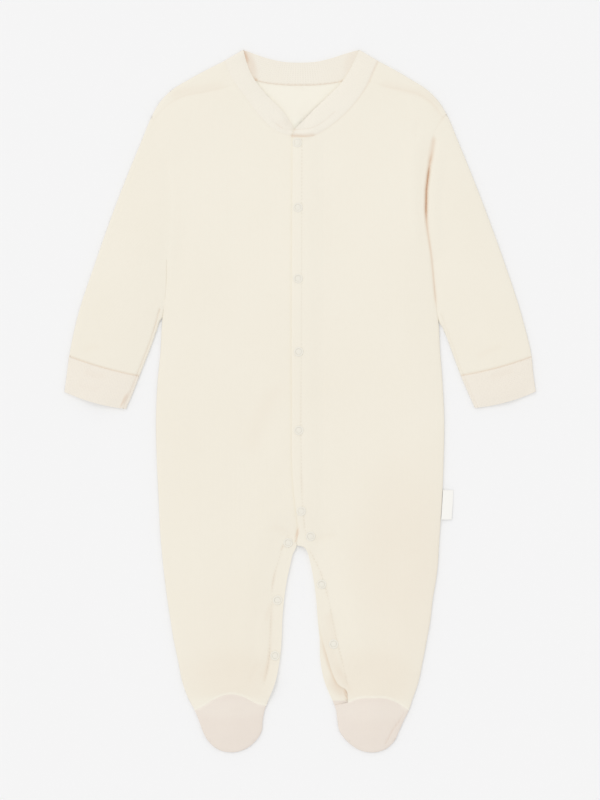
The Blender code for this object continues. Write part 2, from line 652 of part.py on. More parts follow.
def moved_to(line, other, amount):
    """A line moved towards another by an amount, or by a share of the way where they are close."""
    step = other - line
    length = np.linalg.norm(step, axis=1)[:, None]
    return line + step / length * np.minimum(amount, length * amount / (amount + 1.5))


def back_half(side):
    """Grid of half the back: leg, seat, yoke, and the strip that wraps over the shoulder."""
    outer = outer_boundary(side)
    ankle = (getattr(LEGS[0], "side_" + side), LEGS[0].y)
    neck = inset(evenly(getattr(BACK_NECKLINE, side), 60), SEAM_INSET, BODY_MIDDLE)
    neck[0] = (0.0, BACK_NECK_Y - SEAM_INSET)
    middle_line = np.array([CROTCH, (0.0, -60.0), (0.0, 60.0), neck[0]])
    tip = crossing(armhole(side, BODY_MIDDLE), arm_edge(side, ARM_OUTER))
    fold = between(arm_edge(side, ARM_OUTER), neck[-1], tip)
    yoke_start = on_armhole(side, BACK_YOKE_START_Y)
    stretches = (
        (inseam(side), ankle, crotch_level(side), LEG_ROWS, None),
        (middle_line, crotch_level(side), yoke_start, BACK_ROWS, None),
        (neck, yoke_start, tip, YOKE_ROWS - 2, fold),
    )
    blocks = []
    for edge, low, high, rows, last in stretches:
        ends = evenly(between(outer, low, high), rows)
        blocks.append(plan(evenly(edge, rows), ends, LAP_PLACES, EDGE_PLACES, BODY_COLUMNS, last=last))
    lower = joined(*blocks)
    pulled_in(lower, 0)
    share = lengths_along(lower[-1])
    share /= share[-1]
    seam_curve = np.array(getattr(SHOULDER_SEAM, side))
    clear_of_neck = SEAM_INSET / lengths_along(seam_curve)[-1]
    seam = smooth(seam_curve, clear_of_neck + share * (1.0 - clear_of_neck))
    wrap, low_rows = shoulder_wrap(smooth(fold, share), lower[-2], seam)
    pulled_in(wrap, -1)
    flat = np.concatenate([lower[:-1], wrap[low_rows]])
    fold_row = len(flat) - 1
    under, under_normals = layer(flat, lower_height)
    over, over_normals = layer(wrap[~low_rows], upper_height)
    points = np.concatenate([under, over])
    normals = np.concatenate([-under_normals, over_normals])
    points[fold_row, :, 2] = SEAM_HEIGHT
    normals[fold_row] = level_normals(points[fold_row], BODY_MIDDLE)
    stand_side_seam(points, normals, SEAM_HEIGHT - LIFT_GAP / 2)
    return facing_up(points, normals, side)


def back():
    cloth("back", [back_half(side) for side in SIDE_NAMES], CLOTH, JERSEY_COLOUR)


# ---------------------------------------------------------------- sleeves and cuffs

def flat_tube(name, side, grid, thickness, colour, under_height):
    """A flattened tube of the arm over a grid, its two long edges standing on the outline."""
    upper, upper_normals = layer(grid, upper_height)
    lower, lower_normals = layer(grid[:, -2:0:-1], under_height)
    for edge in (0, -1):
        upper[:, edge, 2] = SEAM_HEIGHT
        upper_normals[:, edge] = level_normals(upper[:, edge], arm_middle(side))
    points = np.concatenate([upper, lower], axis=1)
    normals = np.concatenate([upper_normals, -lower_normals], axis=1)
    cloth(name, [(points, normals)], thickness, colour, around=True)


def tube_plan(side, rows, first, last, first_fades=PLAIN_FADES, last_fades=PLAIN_FADES):
    """Grid of part of the arm between two curves, each from the outer edge to the inner one."""
    outer = evenly(between(arm_edge(side, ARM_OUTER), first[0], last[0]), rows)
    inner = evenly(between(arm_edge(side, ARM_INNER), first[-1], last[-1]), rows)
    return plan(outer, inner, EDGE_PLACES, EDGE_PLACES, SLEEVE_COLUMNS, first, last, first_fades, last_fades)


def sleeve(side):
    cap = armhole(side, arm_middle(side))[::-1]
    cap = between(cap, crossing(cap, arm_edge(side, ARM_OUTER)), cap[-1])
    guide = np.array(getattr(SLEEVE_GUIDE, side))
    cuff_seam = bowed(*getattr(CUFF_SEAM, side), cuff_bow(side, CUFF_SEAM_BOW))
    head = tube_plan(side, SLEEVE_HEAD_ROWS, cap, guide, CAP_FADES, GUIDE_FADES)
    arm = tube_plan(side, SLEEVE_ROWS, guide, cuff_seam)
    grid = joined(head, arm)
    pulled_in(grid, -1)
    flat_tube("sleeve_" + side, side, grid, CLOTH, JERSEY_COLOUR, lower_height)


def cuff(side):
    cuff_seam = bowed(*getattr(CUFF_SEAM, side), cuff_bow(side, CUFF_SEAM_BOW))
    mouth = bowed(*getattr(CUFF_MOUTH, side), cuff_bow(side, CUFF_MOUTH_BOW))
    grid = tube_plan(side, CUFF_ROWS, cuff_seam, mouth)
    pulled_in(grid, 0)
    flat_tube("cuff_" + side, side, grid, RIB, RIB_COLOUR, lower_rib_height)


def cuff_bow(side, bow):
    return bow if side == "right" else -bow


# ---------------------------------------------------------------- neckband

def band_stations(rows, count):
    """Seam and free edge of the neckband at this many stations, evenly through a table's rows."""
    rows = np.array(rows, float)
    read = read_curve(np.arange(len(rows)), rows, np.linspace(0.0, len(rows) - 1.0, count))
    seam, free = read[:, :2], read[:, 2:]
    step = free - seam
    return np.stack([seam + step / np.linalg.norm(step, axis=1)[:, None] * SEAM_INSET, free], axis=1)


def round_fold(before, fold, after):
    """Stations closing in on a fold from one side and leaving it on the other."""
    near = [moved_to(fold, before, away) for away in EDGE_PLACES[2:0:-1]]
    return near, [moved_to(fold, after, away) for away in EDGE_PLACES[1:3]]


def neckband():
    """The whole band: up one front end, round the fold, across the back and down the other end."""
    right = band_stations(BAND_FRONT.right, BAND_STATIONS)
    across_back = band_stations(BAND_BACK, BAND_STATIONS)
    left = band_stations(BAND_FRONT.left, BAND_STATIONS)[::-1]
    folds = [neck_fold(side) for side in SIDE_NAMES]
    near_right, past_right = round_fold(right[-2], folds[0], across_back[1])
    near_left, past_left = round_fold(across_back[-2], folds[1], left[1])
    upper_right = np.array(list(right[:-1]) + near_right)
    lower = np.array(past_right + list(across_back[1:-1]) + near_left)
    upper_left = np.array(past_left + list(left[1:]))
    share = np.linspace(0.0, 1.0, BAND_COLUMNS)[:, None]
    stretches = (
        (upper_right, upper_height, 1.0), (folds[0][None], None, 1.0), (lower, lower_rib_height, -1.0),
        (folds[1][None], None, 1.0), (upper_left, lapping_height, 1.0),
    )
    points, normals = [], []
    for ends, height, facing in stretches:
        grid = ends[:, :1] + (ends[:, 1:] - ends[:, :1]) * share
        if height is None:
            made = raised(grid, np.full(grid.shape[:2], SEAM_HEIGHT))
            normal = level_normals(made[0], BODY_MIDDLE)[None]
        else:
            made, normal = layer(grid, height)
        points.append(made)
        normals.append(normal * facing)
    cloth("neckband", [(np.concatenate(points), np.concatenate(normals))], RIB, RIB_COLOUR)


# ---------------------------------------------------------------- feet

def foot_grid(side, first_inner, first_outer, first):
    """Plan of a foot, in rows from the ankle to the toe, with its last row round the toe."""
    around = body_edge(side)
    toe_inner, toe_outer = getattr(TOE, side)
    inner = stations(between(around, first_inner, toe_inner), PLAIN_END, TOE_PLACES, FOOT_ROWS)
    outer = stations(between(around, first_outer, toe_outer), PLAIN_END, TOE_PLACES, FOOT_ROWS)
    toe = between(around, toe_inner, toe_outer)
    grid = plan(inner, outer, EDGE_PLACES, EDGE_PLACES, FOOT_COLUMNS, first, toe, FOOT_FADES, FOOT_FADES)
    pulled_in(grid, 0)
    return grid[:, ::-1] if side == "right" else grid


def rolled_sheet(side, grid, height, edge_height, facing=1.0):
    """Sheet of a foot with its two sides and its toe standing on edge at a height."""
    points, normals = layer(grid, height)
    normals *= facing
    level = np.zeros(normals.shape)
    for line in ((slice(None), 0), (slice(None), -1), (-1, slice(None))):
        points[line][..., 2] = edge_height
        level[line] += level_normals(points[line], foot_middle(side))
    standing = level.any(axis=2)
    normals[standing] = level[standing] / np.linalg.norm(level[standing], axis=1)[:, None]
    return points, normals


def foot_middle(side):
    return (60.0 if side == "left" else -60.0, -268.0)


def foot_top(side):
    seam = np.array(getattr(FOOT_SEAM, side))
    grid = foot_grid(side, seam[0], seam[-1], seam)
    sheet = rolled_sheet(side, grid, upper_height, SEAM_HEIGHT + LIFT_GAP / 2)
    cloth("foot_top_" + side, [sheet], CLOTH, FOOT_COLOUR)


def sole(side):
    row = LEGS[0]
    inner = (getattr(row, "inseam_" + side), row.y)
    outer = (getattr(row, "side_" + side), row.y)
    grid = foot_grid(side, inner, outer, None)
    sheet = rolled_sheet(side, grid, lower_height, SEAM_HEIGHT - LIFT_GAP / 2, -1.0)
    cloth("sole_" + side, [sheet], CLOTH, FOOT_COLOUR)


# ---------------------------------------------------------------- snaps and label

def snap(row):
    """A ring snap: a turned disc with a raised rim, sitting square on the cloth under it."""
    turn = np.linspace(0.0, 2 * np.pi, SNAP_SIDES, endpoint=False)
    around = np.stack([np.cos(turn), np.sin(turn)], axis=1)
    rim = np.array([row.x, row.y]) + around * SNAP_RADIUS
    height = lapping_height if row.front == "left" else upper_height
    heights = height(rim[:, 0], rim[:, 1])
    slope = 2.0 * (around * heights[:, None]).mean(axis=0) / SNAP_RADIUS
    level = (heights - (rim - (row.x, row.y)) @ slope).max() + CLOTH / 2 + LIFT_GAP
    profile = (
        (SNAP_RADIUS - 0.25, 0.0), (SNAP_RADIUS, 0.35), (SNAP_RADIUS - 0.35, SNAP_HEIGHT - 0.1),
        ((SNAP_RADIUS + SNAP_HOLE) / 2, SNAP_HEIGHT), (SNAP_HOLE, SNAP_WELL),
    )
    rings = []
    for radius, up in profile:
        places_round = around * radius
        rings.append(np.column_stack([places_round + (row.x, row.y), places_round @ slope + level + up]))
    centre = np.array([[row.x, row.y, level], [row.x, row.y, level + SNAP_WELL]])
    points = np.concatenate(rings + [centre])
    faces = grid_faces(len(profile), SNAP_SIDES, around=True)
    below = np.arange(SNAP_SIDES)
    above = below + (len(profile) - 1) * SNAP_SIDES
    bottom = len(points) - 2
    caps = [
        np.stack([below, np.full(SNAP_SIDES, bottom), np.roll(below, -1)], 1),
        np.stack([above, np.roll(above, -1), np.full(SNAP_SIDES, bottom + 1)], 1),
    ]
    return points, faces.tolist() + caps[0].tolist() + caps[1].tolist()


def side_label():
    """Folded woven label standing out of the side seam, drooping a little."""
    edge = between(body_edge("left"), (123.0, LABEL_TOP_Y), (123.0, LABEL_BOTTOM_Y))
    seam = evenly(edge, 4) + (EDGE_INSET + SEAM_INSET, 0.0)
    share = np.linspace(0.0, 1.0, 3)
    grid = seam[:, None] + share[:, None] * (LABEL_REACH, 0.0)
    height = np.broadcast_to(SEAM_HEIGHT - LABEL_DROOP * share ** 2, grid.shape[:2])
    points = raised(grid, height)
    upright = np.zeros(points.shape) + (0.0, 0.0, 1.0)
    cloth("side_label", [(points, upright)], LABEL_WALL, LABEL_COLOUR)


def main():
    for old in list(bpy.data.objects):
        bpy.data.objects.remove(old)
    back()
    for side in SIDE_NAMES:
        front(side)
        sleeve(side)
        cuff(side)
        foot_top(side)
        sole(side)
    neckband()
    for row in SNAPS:
        add_piece(row.name, *snap(row), SNAP_COLOUR, roughness=0.45)
    side_label()


main()
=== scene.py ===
"""Dressed model of a footed baby sleepsuit laid flat, built round its CAD frame.

Run as a script, it registers a small add-on and calls its operators in order. Every panel of
cloth is a surface over a grid of places in the plane: one height function gives the upper
layer, another the lower one, and both turn up into a round edge along the outline.
Tables and functions work in millimetres; meshes are made in metres.
"""

from collections import namedtuple

import bmesh
import bpy
import numpy as np
from bpy.props import FloatProperty, FloatVectorProperty, PointerProperty
from bpy.types import Operator, Panel, PropertyGroup
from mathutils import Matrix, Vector


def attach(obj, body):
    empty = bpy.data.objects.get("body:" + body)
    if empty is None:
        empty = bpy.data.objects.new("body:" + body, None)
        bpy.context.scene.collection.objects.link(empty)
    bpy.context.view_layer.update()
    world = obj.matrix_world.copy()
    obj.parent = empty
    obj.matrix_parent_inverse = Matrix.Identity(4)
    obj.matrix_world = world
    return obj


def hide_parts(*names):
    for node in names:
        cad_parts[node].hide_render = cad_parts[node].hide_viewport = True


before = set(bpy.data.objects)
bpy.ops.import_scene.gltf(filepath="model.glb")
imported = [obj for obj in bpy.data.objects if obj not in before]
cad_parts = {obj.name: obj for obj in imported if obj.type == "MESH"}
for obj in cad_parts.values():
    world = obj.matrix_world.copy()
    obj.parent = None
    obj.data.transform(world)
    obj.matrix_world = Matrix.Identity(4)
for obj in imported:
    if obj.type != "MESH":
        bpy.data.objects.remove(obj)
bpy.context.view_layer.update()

bl_info = {
    "name": "Footed sleepsuit",
    "version": (1, 0, 0),
    "blender": (4, 5, 0),
    "location": "3D View > Sidebar > Sleepsuit",
    "description": "Builds the panels, snaps, stitching and stage of a baby sleepsuit laid flat",
    "category": "Add Mesh",
}

MM = 0.001


# ---------------------------------------------------------------- tables of the cut

def table_of(kind, *rows):
    """A table whose rows have the named columns of a kind."""
    return tuple(kind(*row) for row in rows)


# Outline of body and legs: side seams and inner-leg edges at heights up the suit.
Section = namedtuple("Section", "y side_right inseam_right inseam_left side_left")
LEGS = table_of(Section,
    (-256, -94.5, -27.3, 27.9, 95.7),
    (-242, -99.9, -21.7, 21.8, 100.6),
    (-221, -104.3, -17.3, 17.4, 105.1),
    (-204, -107.9, -15.7, 16.9, 108.4),
    (-187, -110.6, -15.1, 15.3, 111.4),
    (-170, -113.2, -13.6, 14, 113.3),
    (-153, -115.4, -11.2, 11.8, 116.2),
    (-140, -116.9, -8.3, 9.3, 117.8),
    (-130, -117.9, -5.9, 6.7, 118.4),
    (-125.5, -118.3, -3.5, 4.4, 118.6),
    (-122.4, -118.6, -2.5, -2.5, 118.8),
)
Side = namedtuple("Side", "y side_right side_left")
SIDES = table_of(Side,
    (-84, -120.7, 121.4),
    (-50, -122.3, 122.7),
    (-16, -123, 123.2),
    (18, -121.5, 121.6),
    (44, -119, 119.6),
    (65, -118, 118.6),
    (78, -117, 117.2),
    (98, -115, 115.5),
    (119, -114.5, 114),
)
CROTCH = (-2.5, -122.4)
BACK_NECK_Y = 270
BODY_MIDDLE = (0, 100)
UNDERARM_Y = 119


def column(table, name):
    """One column of a table of heights, as a curve up the suit."""
    return tuple((getattr(row, name), row.y) for row in table)


# Edges and seams of the wearer's right and left side, each a curve through a few places.
SIDE_NAMES = ("right", "left")
SIGN = {"right": -1.0, "left": 1.0}
Curves = namedtuple("Curves", SIDE_NAMES)
INSEAM = Curves(*(column(LEGS, "inseam_" + side) for side in SIDE_NAMES))
SIDE_SEAM = Curves(*(column(LEGS + SIDES, "side_" + side) for side in SIDE_NAMES))
ANKLE, CROTCH_LEVEL = 0, len(LEGS) - 1
SHOULDER_TIP = Curves((-126, 244.3), (125.1, 245.2))
CUFF_SEAM = Curves(((-197.1, 38.3), (-137.2, 21.4)), ((197.8, 37.8), (137.4, 21.8)))
CUFF_MOUTH = Curves(((-201.1, 7.7), (-148.8, -6.8)), ((201.3, 8), (149.6, -6)))
CUFF_SEAM_BOW = 1.5
CUFF_MOUTH_BOW = 2.1
MOUTH_REACH = 40
ARM_LEAN = 18
ARM_OUTER = Curves(
    ((-64.5, 290.5), (-74.6, 285.5), (-93.6, 275.3), (-110.8, 264.6), (-120.2, 254.6), SHOULDER_TIP.right,
     (-135.3, 222.3), (-155.8, 171.4), (-174.1, 120.4), (-190.8, 68.8), CUFF_SEAM.right[0], (-198.9, 23.9),
     CUFF_MOUTH.right[0]),
    ((66.5, 290.5), (76.5, 285.3), (93.4, 275.5), (110.5, 264.2), (119.6, 254.3), SHOULDER_TIP.left,
     (135.3, 221.3), (155.4, 171), (174, 120.2), (190.6, 68.7), CUFF_SEAM.left[0], (199.1, 23.9),
     CUFF_MOUTH.left[0]),
)
ARM_INNER = Curves(
    ((-114.5, 119), (-115, 98), (-117.5, 78), (-125.5, 51.5), (-132, 34.4), CUFF_SEAM.right[1],
     (-142.3, 8.5), CUFF_MOUTH.right[1]),
    ((114, 119), (115.5, 98), (118.2, 74), (127, 50), (132.5, 34.6), CUFF_SEAM.left[1],
     (142.9, 9), CUFF_MOUTH.left[1]),
)
ARMHOLE = Curves(
    ((-114.5, 119), (-111, 142), (-110.5, 172), (-114.5, 198), (-122, 224), SHOULDER_TIP.right),
    ((114, 119), (109.5, 141), (106.5, 168), (108.5, 201), (112.5, 223), (118, 236),
     SHOULDER_TIP.left),
)
SHOULDER_SEAM = Curves(
    ((-54.5, 270), (-66, 267), (-82, 263.5), (-98, 260.5), (-111, 254), (-125, 239.5)),
    ((59, 273), (72.5, 268.5), (89, 265), (103.5, 260.5), (113.5, 253), (122.3, 241.6)),
)
FOOT_OUTLINE = Curves(
    ((-90.3, -263.7), (-86.4, -272.7), (-83.4, -281.2), (-79, -289.6), (-70.4, -297.4), (-60, -300.1),
     (-48.6, -298.1), (-37.8, -290.2), (-32.7, -281.5), (-31.9, -272.8), (-30.2, -264), (-27.3, -256)),
    ((93.1, -264), (88.7, -272.7), (84.9, -281.2), (80.5, -290.5), (73.2, -297.2), (64, -300.1),
     (51.6, -298.4), (40.2, -290.6), (33.5, -281.2), (32, -272.9), (30.8, -263.9), (27.9, -256)),
)
FOOT_SEAM = Curves(
    ((-29, -260.5), (-37.5, -258), (-48.5, -252.5), (-60, -250.5), (-70, -253), (-82, -260),
     (-90.5, -264.3)),
    ((29.5, -260), (41, -257.5), (49, -254.5), (61.5, -253.5), (73.5, -254), (82, -257),
     (93, -264)),
)
TOE = Curves(((-37.5, -288.5), (-80, -288)), ((39.5, -289), (82, -288.5)))

# Free edge of each front: up the inner leg, through the crotch and up the placket to the neck.
FRONT_LEG_EDGE = Curves(
    ((-29, -260.5), *INSEAM.right[:9], (-3.3, -125), (-3, -123.4)),
    ((41, -257.5), (39.5, -247), (33, -242.5), (28, -233), (24, -220.5), (19.8, -206), (15.8, -190),
     *INSEAM.left[5:9], (5.2, -126.6), (3.2, -124.6), (-2, -123.4)),
)
LAPPED_ANKLE = slice(2, 5)
FRONT_ANKLE = Curves(FOOT_SEAM.right, FOOT_SEAM.left[1:])
PLACKET_LINE = Curves(
    ((-3, -123.4), (1, -115), (2.5, -100), (2.5, 0), (2.5, 225.5)),
    ((-2, -123.4), (-3.9, -119), (-1.8, -110), (-3.6, -94), (-6.2, -67), (-7, 0), (-6.5, 226)),
)
YOKE_START_Y = 172
BACK_YOKE_START_Y = 232

# The neckband, from its seam to its free edge: each front end up to the fold, and the back.
Band = namedtuple("Band", "seam_x seam_y free_x free_y")
BAND_FRONT = Curves(
    table_of(Band, (2, 226, 2, 230), (-7, 226.5, -4.5, 232.5), (-16, 229, -9, 240),
             (-25, 234, -15, 248), (-38.5, 248.5, -26, 259), (-46, 259, -34, 268),
             (-54.5, 270, -41, 278), (-60, 280, -45.5, 289), (-64.5, 290.5, -48.5, 300)),
    table_of(Band, (-6.5, 226, -4, 232.5), (11, 226.5, 3.5, 240), (24, 233.5, 12.5, 249.5),
             (39, 246, 25.5, 262), (50, 258.5, 34.5, 271), (59, 273, 41.5, 281),
             (62.5, 281.5, 46, 290), (66.5, 290.5, 50.5, 300)),
)
BAND_BACK = table_of(Band,
    (-64.5, 290.5, -48.5, 300), (-51.5, 280.5, -36.5, 295.5), (-36, 273.5, -25.5, 292),
    (-17, 270.5, -13, 289.5), (0, BACK_NECK_Y, 0, 289), (17, 270.5, 13.5, 289.7),
    (36, 273.5, 26, 292.5), (53, 281, 38.5, 296.5), (66.5, 290.5, 50.5, 300),
)


def band_seam(table):
    """The seam of a neckband table, without its free edge."""
    return tuple(row[:2] for row in table)


BAND_SEAM = Curves(((2.5, 225.5), *band_seam(BAND_FRONT.right[1:])), band_seam(BAND_FRONT.left))
NECKLINE = Curves(BAND_SEAM.right[:7], BAND_SEAM.left[:6])
BACK_NECKLINE = Curves(band_seam(BAND_BACK[4::-1]), band_seam(BAND_BACK[4:]))

# Ridges (rise above 0) and troughs of the upper layer along a curve. Shade is painted shade, warmer and
# darker, in the cloth's colour along it; below 0 it is painted light, paler.
Fold = namedtuple("Fold", "name rise half_width shade line")
FOLDS = table_of(Fold,
    ("left armpit trough", -1, 6.5, 0.06, ((113, 234), (105.5, 168), (110, 120))),
    ("left armpit ridge, sleeve side", 0.9, 5, 0, ((119, 224), (113.5, 170), (117, 125))),
    ("left armpit ridge, body side", 0.7, 7, 0, ((99, 234), (96.5, 185), (101, 130))),
    ("right armpit trough", -0.5, 7, 0.05, ((-118, 218), (-109.5, 165), (-112.5, 118))),
    ("right body hollow", -0.5, 6, 0.03, ((-101, 160), (-101.5, 130), (-103, 92))),
    ("left leg gape", 0.6, 5, 0, ((44, -264), (38, -246), (26, -214))),
    ("right leg pucker", 0.7, 5, 0, ((-33, -228), (-31, -205), (-33, -180))),
    ("left leg drag line", 0.5, 8, 0, ((62, -235), (52, -205), (36, -165))),
    ("seat drag line", 0.4, 9, 0, ((-40, -95), (-24, -60), (-14, -15))),
    ("right foot swell", 0.8, 15, 0, ((-60, -254), (-60, -274), (-58, -294))),
    ("left foot swell", 0.8, 15, 0, ((62, -256), (62, -275), (64, -294))),
    ("right cuff mouth", -1.2, 8, 0, ((-222, 16), (-176, -3.5), (-128, -13))),
    ("left cuff mouth", -2, 8, 0, ((222, 16), (176, -3.5), (128, -13))),
)
FOLD_ENDS = 0.22

# Creases and puckers too fine for the frame.
CREASES = table_of(Fold,
    ("left armpit core", -1.2, 1.5, 0.42,
     ((113.2, 216), (111.4, 206), (110.1, 197.4), (109.1, 188.9), (108.1, 180), (107.9, 171.8),
      (107.7, 163), (108, 154.7), (109, 145), (109.8, 137))),
    ("left armpit, deepest part", -1.2, 1.5, 0.43,
     ((111, 204), (110.1, 197.4), (109.1, 188.9), (108.1, 180), (107.9, 171.8), (107.7, 163),
      (108.1, 153))),
    ("left armpit, upper part", -0.5, 2, 0.3, ((114.8, 228), (113, 214), (110.6, 200))),
    ("left armpit, lower part", -0.6, 1.3, 0.32, ((108.2, 152), (112, 124), (114.4, 100), (117, 74))),
    ("left dimple", -0.3, 2.6, 0.05, ((100.5, 238), (99, 229), (100, 221))),
    ("right sleeve strip", 0.25, 3.5, -0.08, ((-112, 214), (-108.5, 175), (-112, 105))),
    ("right shoulder hollow", -0.1, 5, 0.09, ((-56, 272), (-80, 267), (-106, 262), (-117, 256))),
    ("left shoulder hollow", -0.1, 5, 0.08, ((61, 275), (80, 268), (104, 262), (125, 247))),
    ("right cap hollow", -0.15, 5, 0.03, ((-122, 240), (-126.5, 229), (-130, 216))),
    ("left cap hollow", -0.15, 6, 0.03, ((112, 252), (119, 244), (124, 234))),
    ("right cuff dent", -0.22, 3.2, 0.04, ((-186, 26), (-176, 22.5), (-164, 20.5))),
    ("right cuff second dent", -0.12, 3, 0.02, ((-192, 17), (-180, 11), (-168, 9))),
    ("left cuff dent", -0.2, 3, 0.04, ((160, 19), (172, 23), (184, 27))),
    ("right sleeve dent above cuff", -0.12, 2.5, 0.03, ((-186, 41), (-178, 46), (-170, 47))),
    ("left sleeve dent above cuff", -0.12, 2.5, 0.03, ((150, 36), (160, 42), (174, 47))),
    ("right knee crease", -0.2, 1.8, 0.06, ((-23.5, -171), (-27, -180), (-29.5, -189))),
    ("right ankle crease", -0.25, 1.9, 0.04, ((-34, -239), (-31, -231), (-26.5, -222))),
    ("right ankle second crease", -0.18, 2.4, 0.02, ((-44, -244), (-40, -232), (-34, -221))),
    ("left ankle crease", -0.2, 1.8, 0.05, ((45, -251), (39, -240), (31, -226))),
    ("left shin hollow", -0.2, 4, 0.06, ((31, -212), (27, -196), (24, -178))),
    ("left foot crease", -0.25, 2.6, 0.03, ((44, -262), (50, -266), (60, -266))),
    ("right foot crease", -0.25, 2.6, 0.03, ((-44, -262), (-52, -264), (-62, -262))),
    ("crotch pull, right", -0.25, 2.6, 0.03, ((-6, -118), (-14, -111), (-26, -107))),
    ("crotch pull, left", -0.25, 2.8, 0.03, ((10, -122), (20, -116), (34, -114))),
    ("chest pull", -0.15, 6, 0.03, ((14, 190), (26, 150), (22, 110))),
    ("waist pull", -0.15, 7, 0.03, ((-12, 20), (-30, -6), (-44, -50))),
    ("sunk neck point", -0.8, 5, 0, ((-17, 250), (-3, 230), (15, 250))),
    ("neck roll, right end", 0.35, 2.4, 0, ((21.4, 236.5), (9.4, 229.6), (-4, 228.6))),
)

# Soft patches of painted shade, warmer and darker (above 0), or of painted light, paler (below 0), on one
# piece, or on the upper layer of any. Inside the back the paler colour is also the jersey's reverse.
Patch = namedtuple("Patch", "name piece x y across along lean amount")
PATCHES = table_of(Patch,
    ("inside of the neck fold, right", "neckband_rib", -43, 288, 5, 13, -0.3, 0.2),
    ("depth of the neck fold, right", "neckband_rib", -46.6, 294.5, 2, 6, -0.3, 0.38),
    ("depth of the neck fold, end", "neckband_rib", -38, 274.5, 1.6, 2.2, 0, 0.3),
    ("inside of the neck fold, left", "neckband_rib", 44, 290, 6, 11, 0.3, 0.08),
    ("inside of the back", "back_panel", 0, 250, 80, 60, 0, -0.42),
    ("inside, at the neck point", "back_panel", -3, 235, 6, 7, 0, -0.45),
    ("strip along the left ankle", "", 27, -217, 5, 22, -0.37, 0.06),
    ("under-lap at the ankle", "back_panel", 34, -244, 9, 9, -0.4, 0.18),
    ("under-lap beside the shin", "back_panel", 25.5, -224, 3, 19, -0.35, 0.22),
    ("end of the gape", "back_panel", 39.6, -250.5, 1.1, 6.5, -0.12, 0.35),
    ("right foot by its seam", "", -60, -262, 34, 9, 0, -0.15),
    ("left foot by its seam", "", 62, -264, 34, 9, 0, -0.12),
    ("neck point", "", -12, 237.5, 8, 4.5, 0.6, 0.12),
    ("shoulders and chest", "", 0, 180, 130, 110, 0, -0.12),
    ("corner of the right cuff", "", -150.5, 0.5, 1.2, 6.5, 0.5, 0.3),
    ("crotch slit", "", -2.3, -114.5, 0.75, 6.3, 0.19, 0.45),
    ("left thigh", "", 90, -140, 45, 90, 0, 0.06),
    ("left ankle", "", 62, -238, 40, 26, 0, 0.07),
    ("right ankle", "", -60, -238, 40, 26, 0, 0.06),
    ("right shin", "", -60, -200, 50, 50, 0, 0.02),
)

Snap = namedtuple("Snap", "name x y front")
SNAPS = table_of(Snap,
    ("snap_front_1", -2.3, 220.5, "left"),
    ("snap_front_2", -1.7, 165, "left"),
    ("snap_front_3", -1.7, 104.5, "left"),
    ("snap_front_4", -1.2, 42, "left"),
    ("snap_front_5", -1, -25, "left"),
    ("snap_front_6", 1, -94, "left"),
    ("snap_leg_left_1", 9, -115.5, "left"),
    ("snap_leg_left_2", 18.5, -156.5, "left"),
    ("snap_leg_left_3", 28.7, -207.5, "left"),
    ("snap_leg_right_1", -10.2, -121, "right"),
    ("snap_leg_right_2", -19.2, -170, "right"),
    ("snap_leg_right_3", -21.4, -217.5, "right"),
)

# Seams that sink into the upper layer, with painted shade along them (shade above 0) or a painted
# highlight (below 0), as along the feet.
Seam = namedtuple("Seam", "name depth half_width shade line")
SEAMS = table_of(Seam,
    ("armhole right", 0.05, 0.9, 0, ARMHOLE.right),
    ("armhole left", 0.08, 0.9, 0.05, ARMHOLE.left),
    ("shoulder right", 0.12, 1, 0.05, SHOULDER_SEAM.right),
    ("shoulder left", 0.1, 1, 0.05, SHOULDER_SEAM.left),
    ("foot right", 0.34, 0.55, -0.3, FOOT_SEAM.right),
    ("foot left", 0.34, 0.55, -0.3, FOOT_SEAM.left[1:]),
    ("neck right", 0.3, 1, 0.05, BAND_SEAM.right),
    ("neck left", 0.38, 1, 0.18, BAND_SEAM.left),
    ("neck point, inner right", 0.3, 0.8, 0.14, ((-24, 240), (-13.7, 231.9), (-4.2, 231))),
    ("neck point, inner left", 0.34, 0.8, 0.2, ((30, 247), (21.4, 239.3), (9.4, 232.8), (-3.4, 231.6))),
    ("under the neck point", 0.25, 1.8, 0.24, ((10.5, 227.2), (4, 226.7), (-6, 226.9))),
    ("sole left", 0.4, 0.6, 0.14, ((88.6, -266), (86.6, -270), (79, -281), (73, -292.5))),
)
# Depth, half width and painted shade of the cuff seams, and of the underarm seams.
CUFF_RELIEF = (0.55, 0.55, 0.2)
UNDERARM_RELIEF = Curves((0.7, 0.55, 0.16), (0.3, 0.55, 0.06))
UNDERARM_INSET = 2.3
# The seam inside the back of the neck: no groove, only painted shade along it.
BACK_NECK_SEAM = Seam(
    "back neck", 0, 0.9, 0.35,
    ((-46, 278.5), (-36, 273.2), (-17, 270.2), (0, 269.7), (17, 270.2), (36, 273.2), (46, 278)),
)

# Rows of stitches: the front that carries them, the depth of their channel, how far each stitch slants
# and the painted shade beside them.
Stitching = namedtuple("Stitching", "name front depth slant shade line")
TOPSTITCHING = table_of(Stitching,
    ("stitches_placket", "left", 0.22, 0, 0.06,
     ((1.6, 224.5), (1.5, 160), (1.2, 60), (1, -40), (2.2, -90), (4.6, -112))),
    ("stitches_leg_right", "right", 0.25, 0, 0.16,
     ((-14.5, -123), (-20, -142), (-22.8, -152), (-24.2, -170), (-25.8, -203), (-26.8, -221), (-31, -243))),
    ("stitches_leg_left", "left", 0.25, 0, 0.06,
     ((8.5, -128), (17, -145), (22.3, -161.5), (30.5, -200), (36, -222), (40.5, -243))),
    ("stitches_back_neck", "inside", 0, 0.7, 0,
     ((-44.5, 278.6), (-36, 274.1), (-17, 271.1), (0, 270.6), (17, 271.1), (36, 274.1), (43, 277))),
)


# ---------------------------------------------------------------- curves

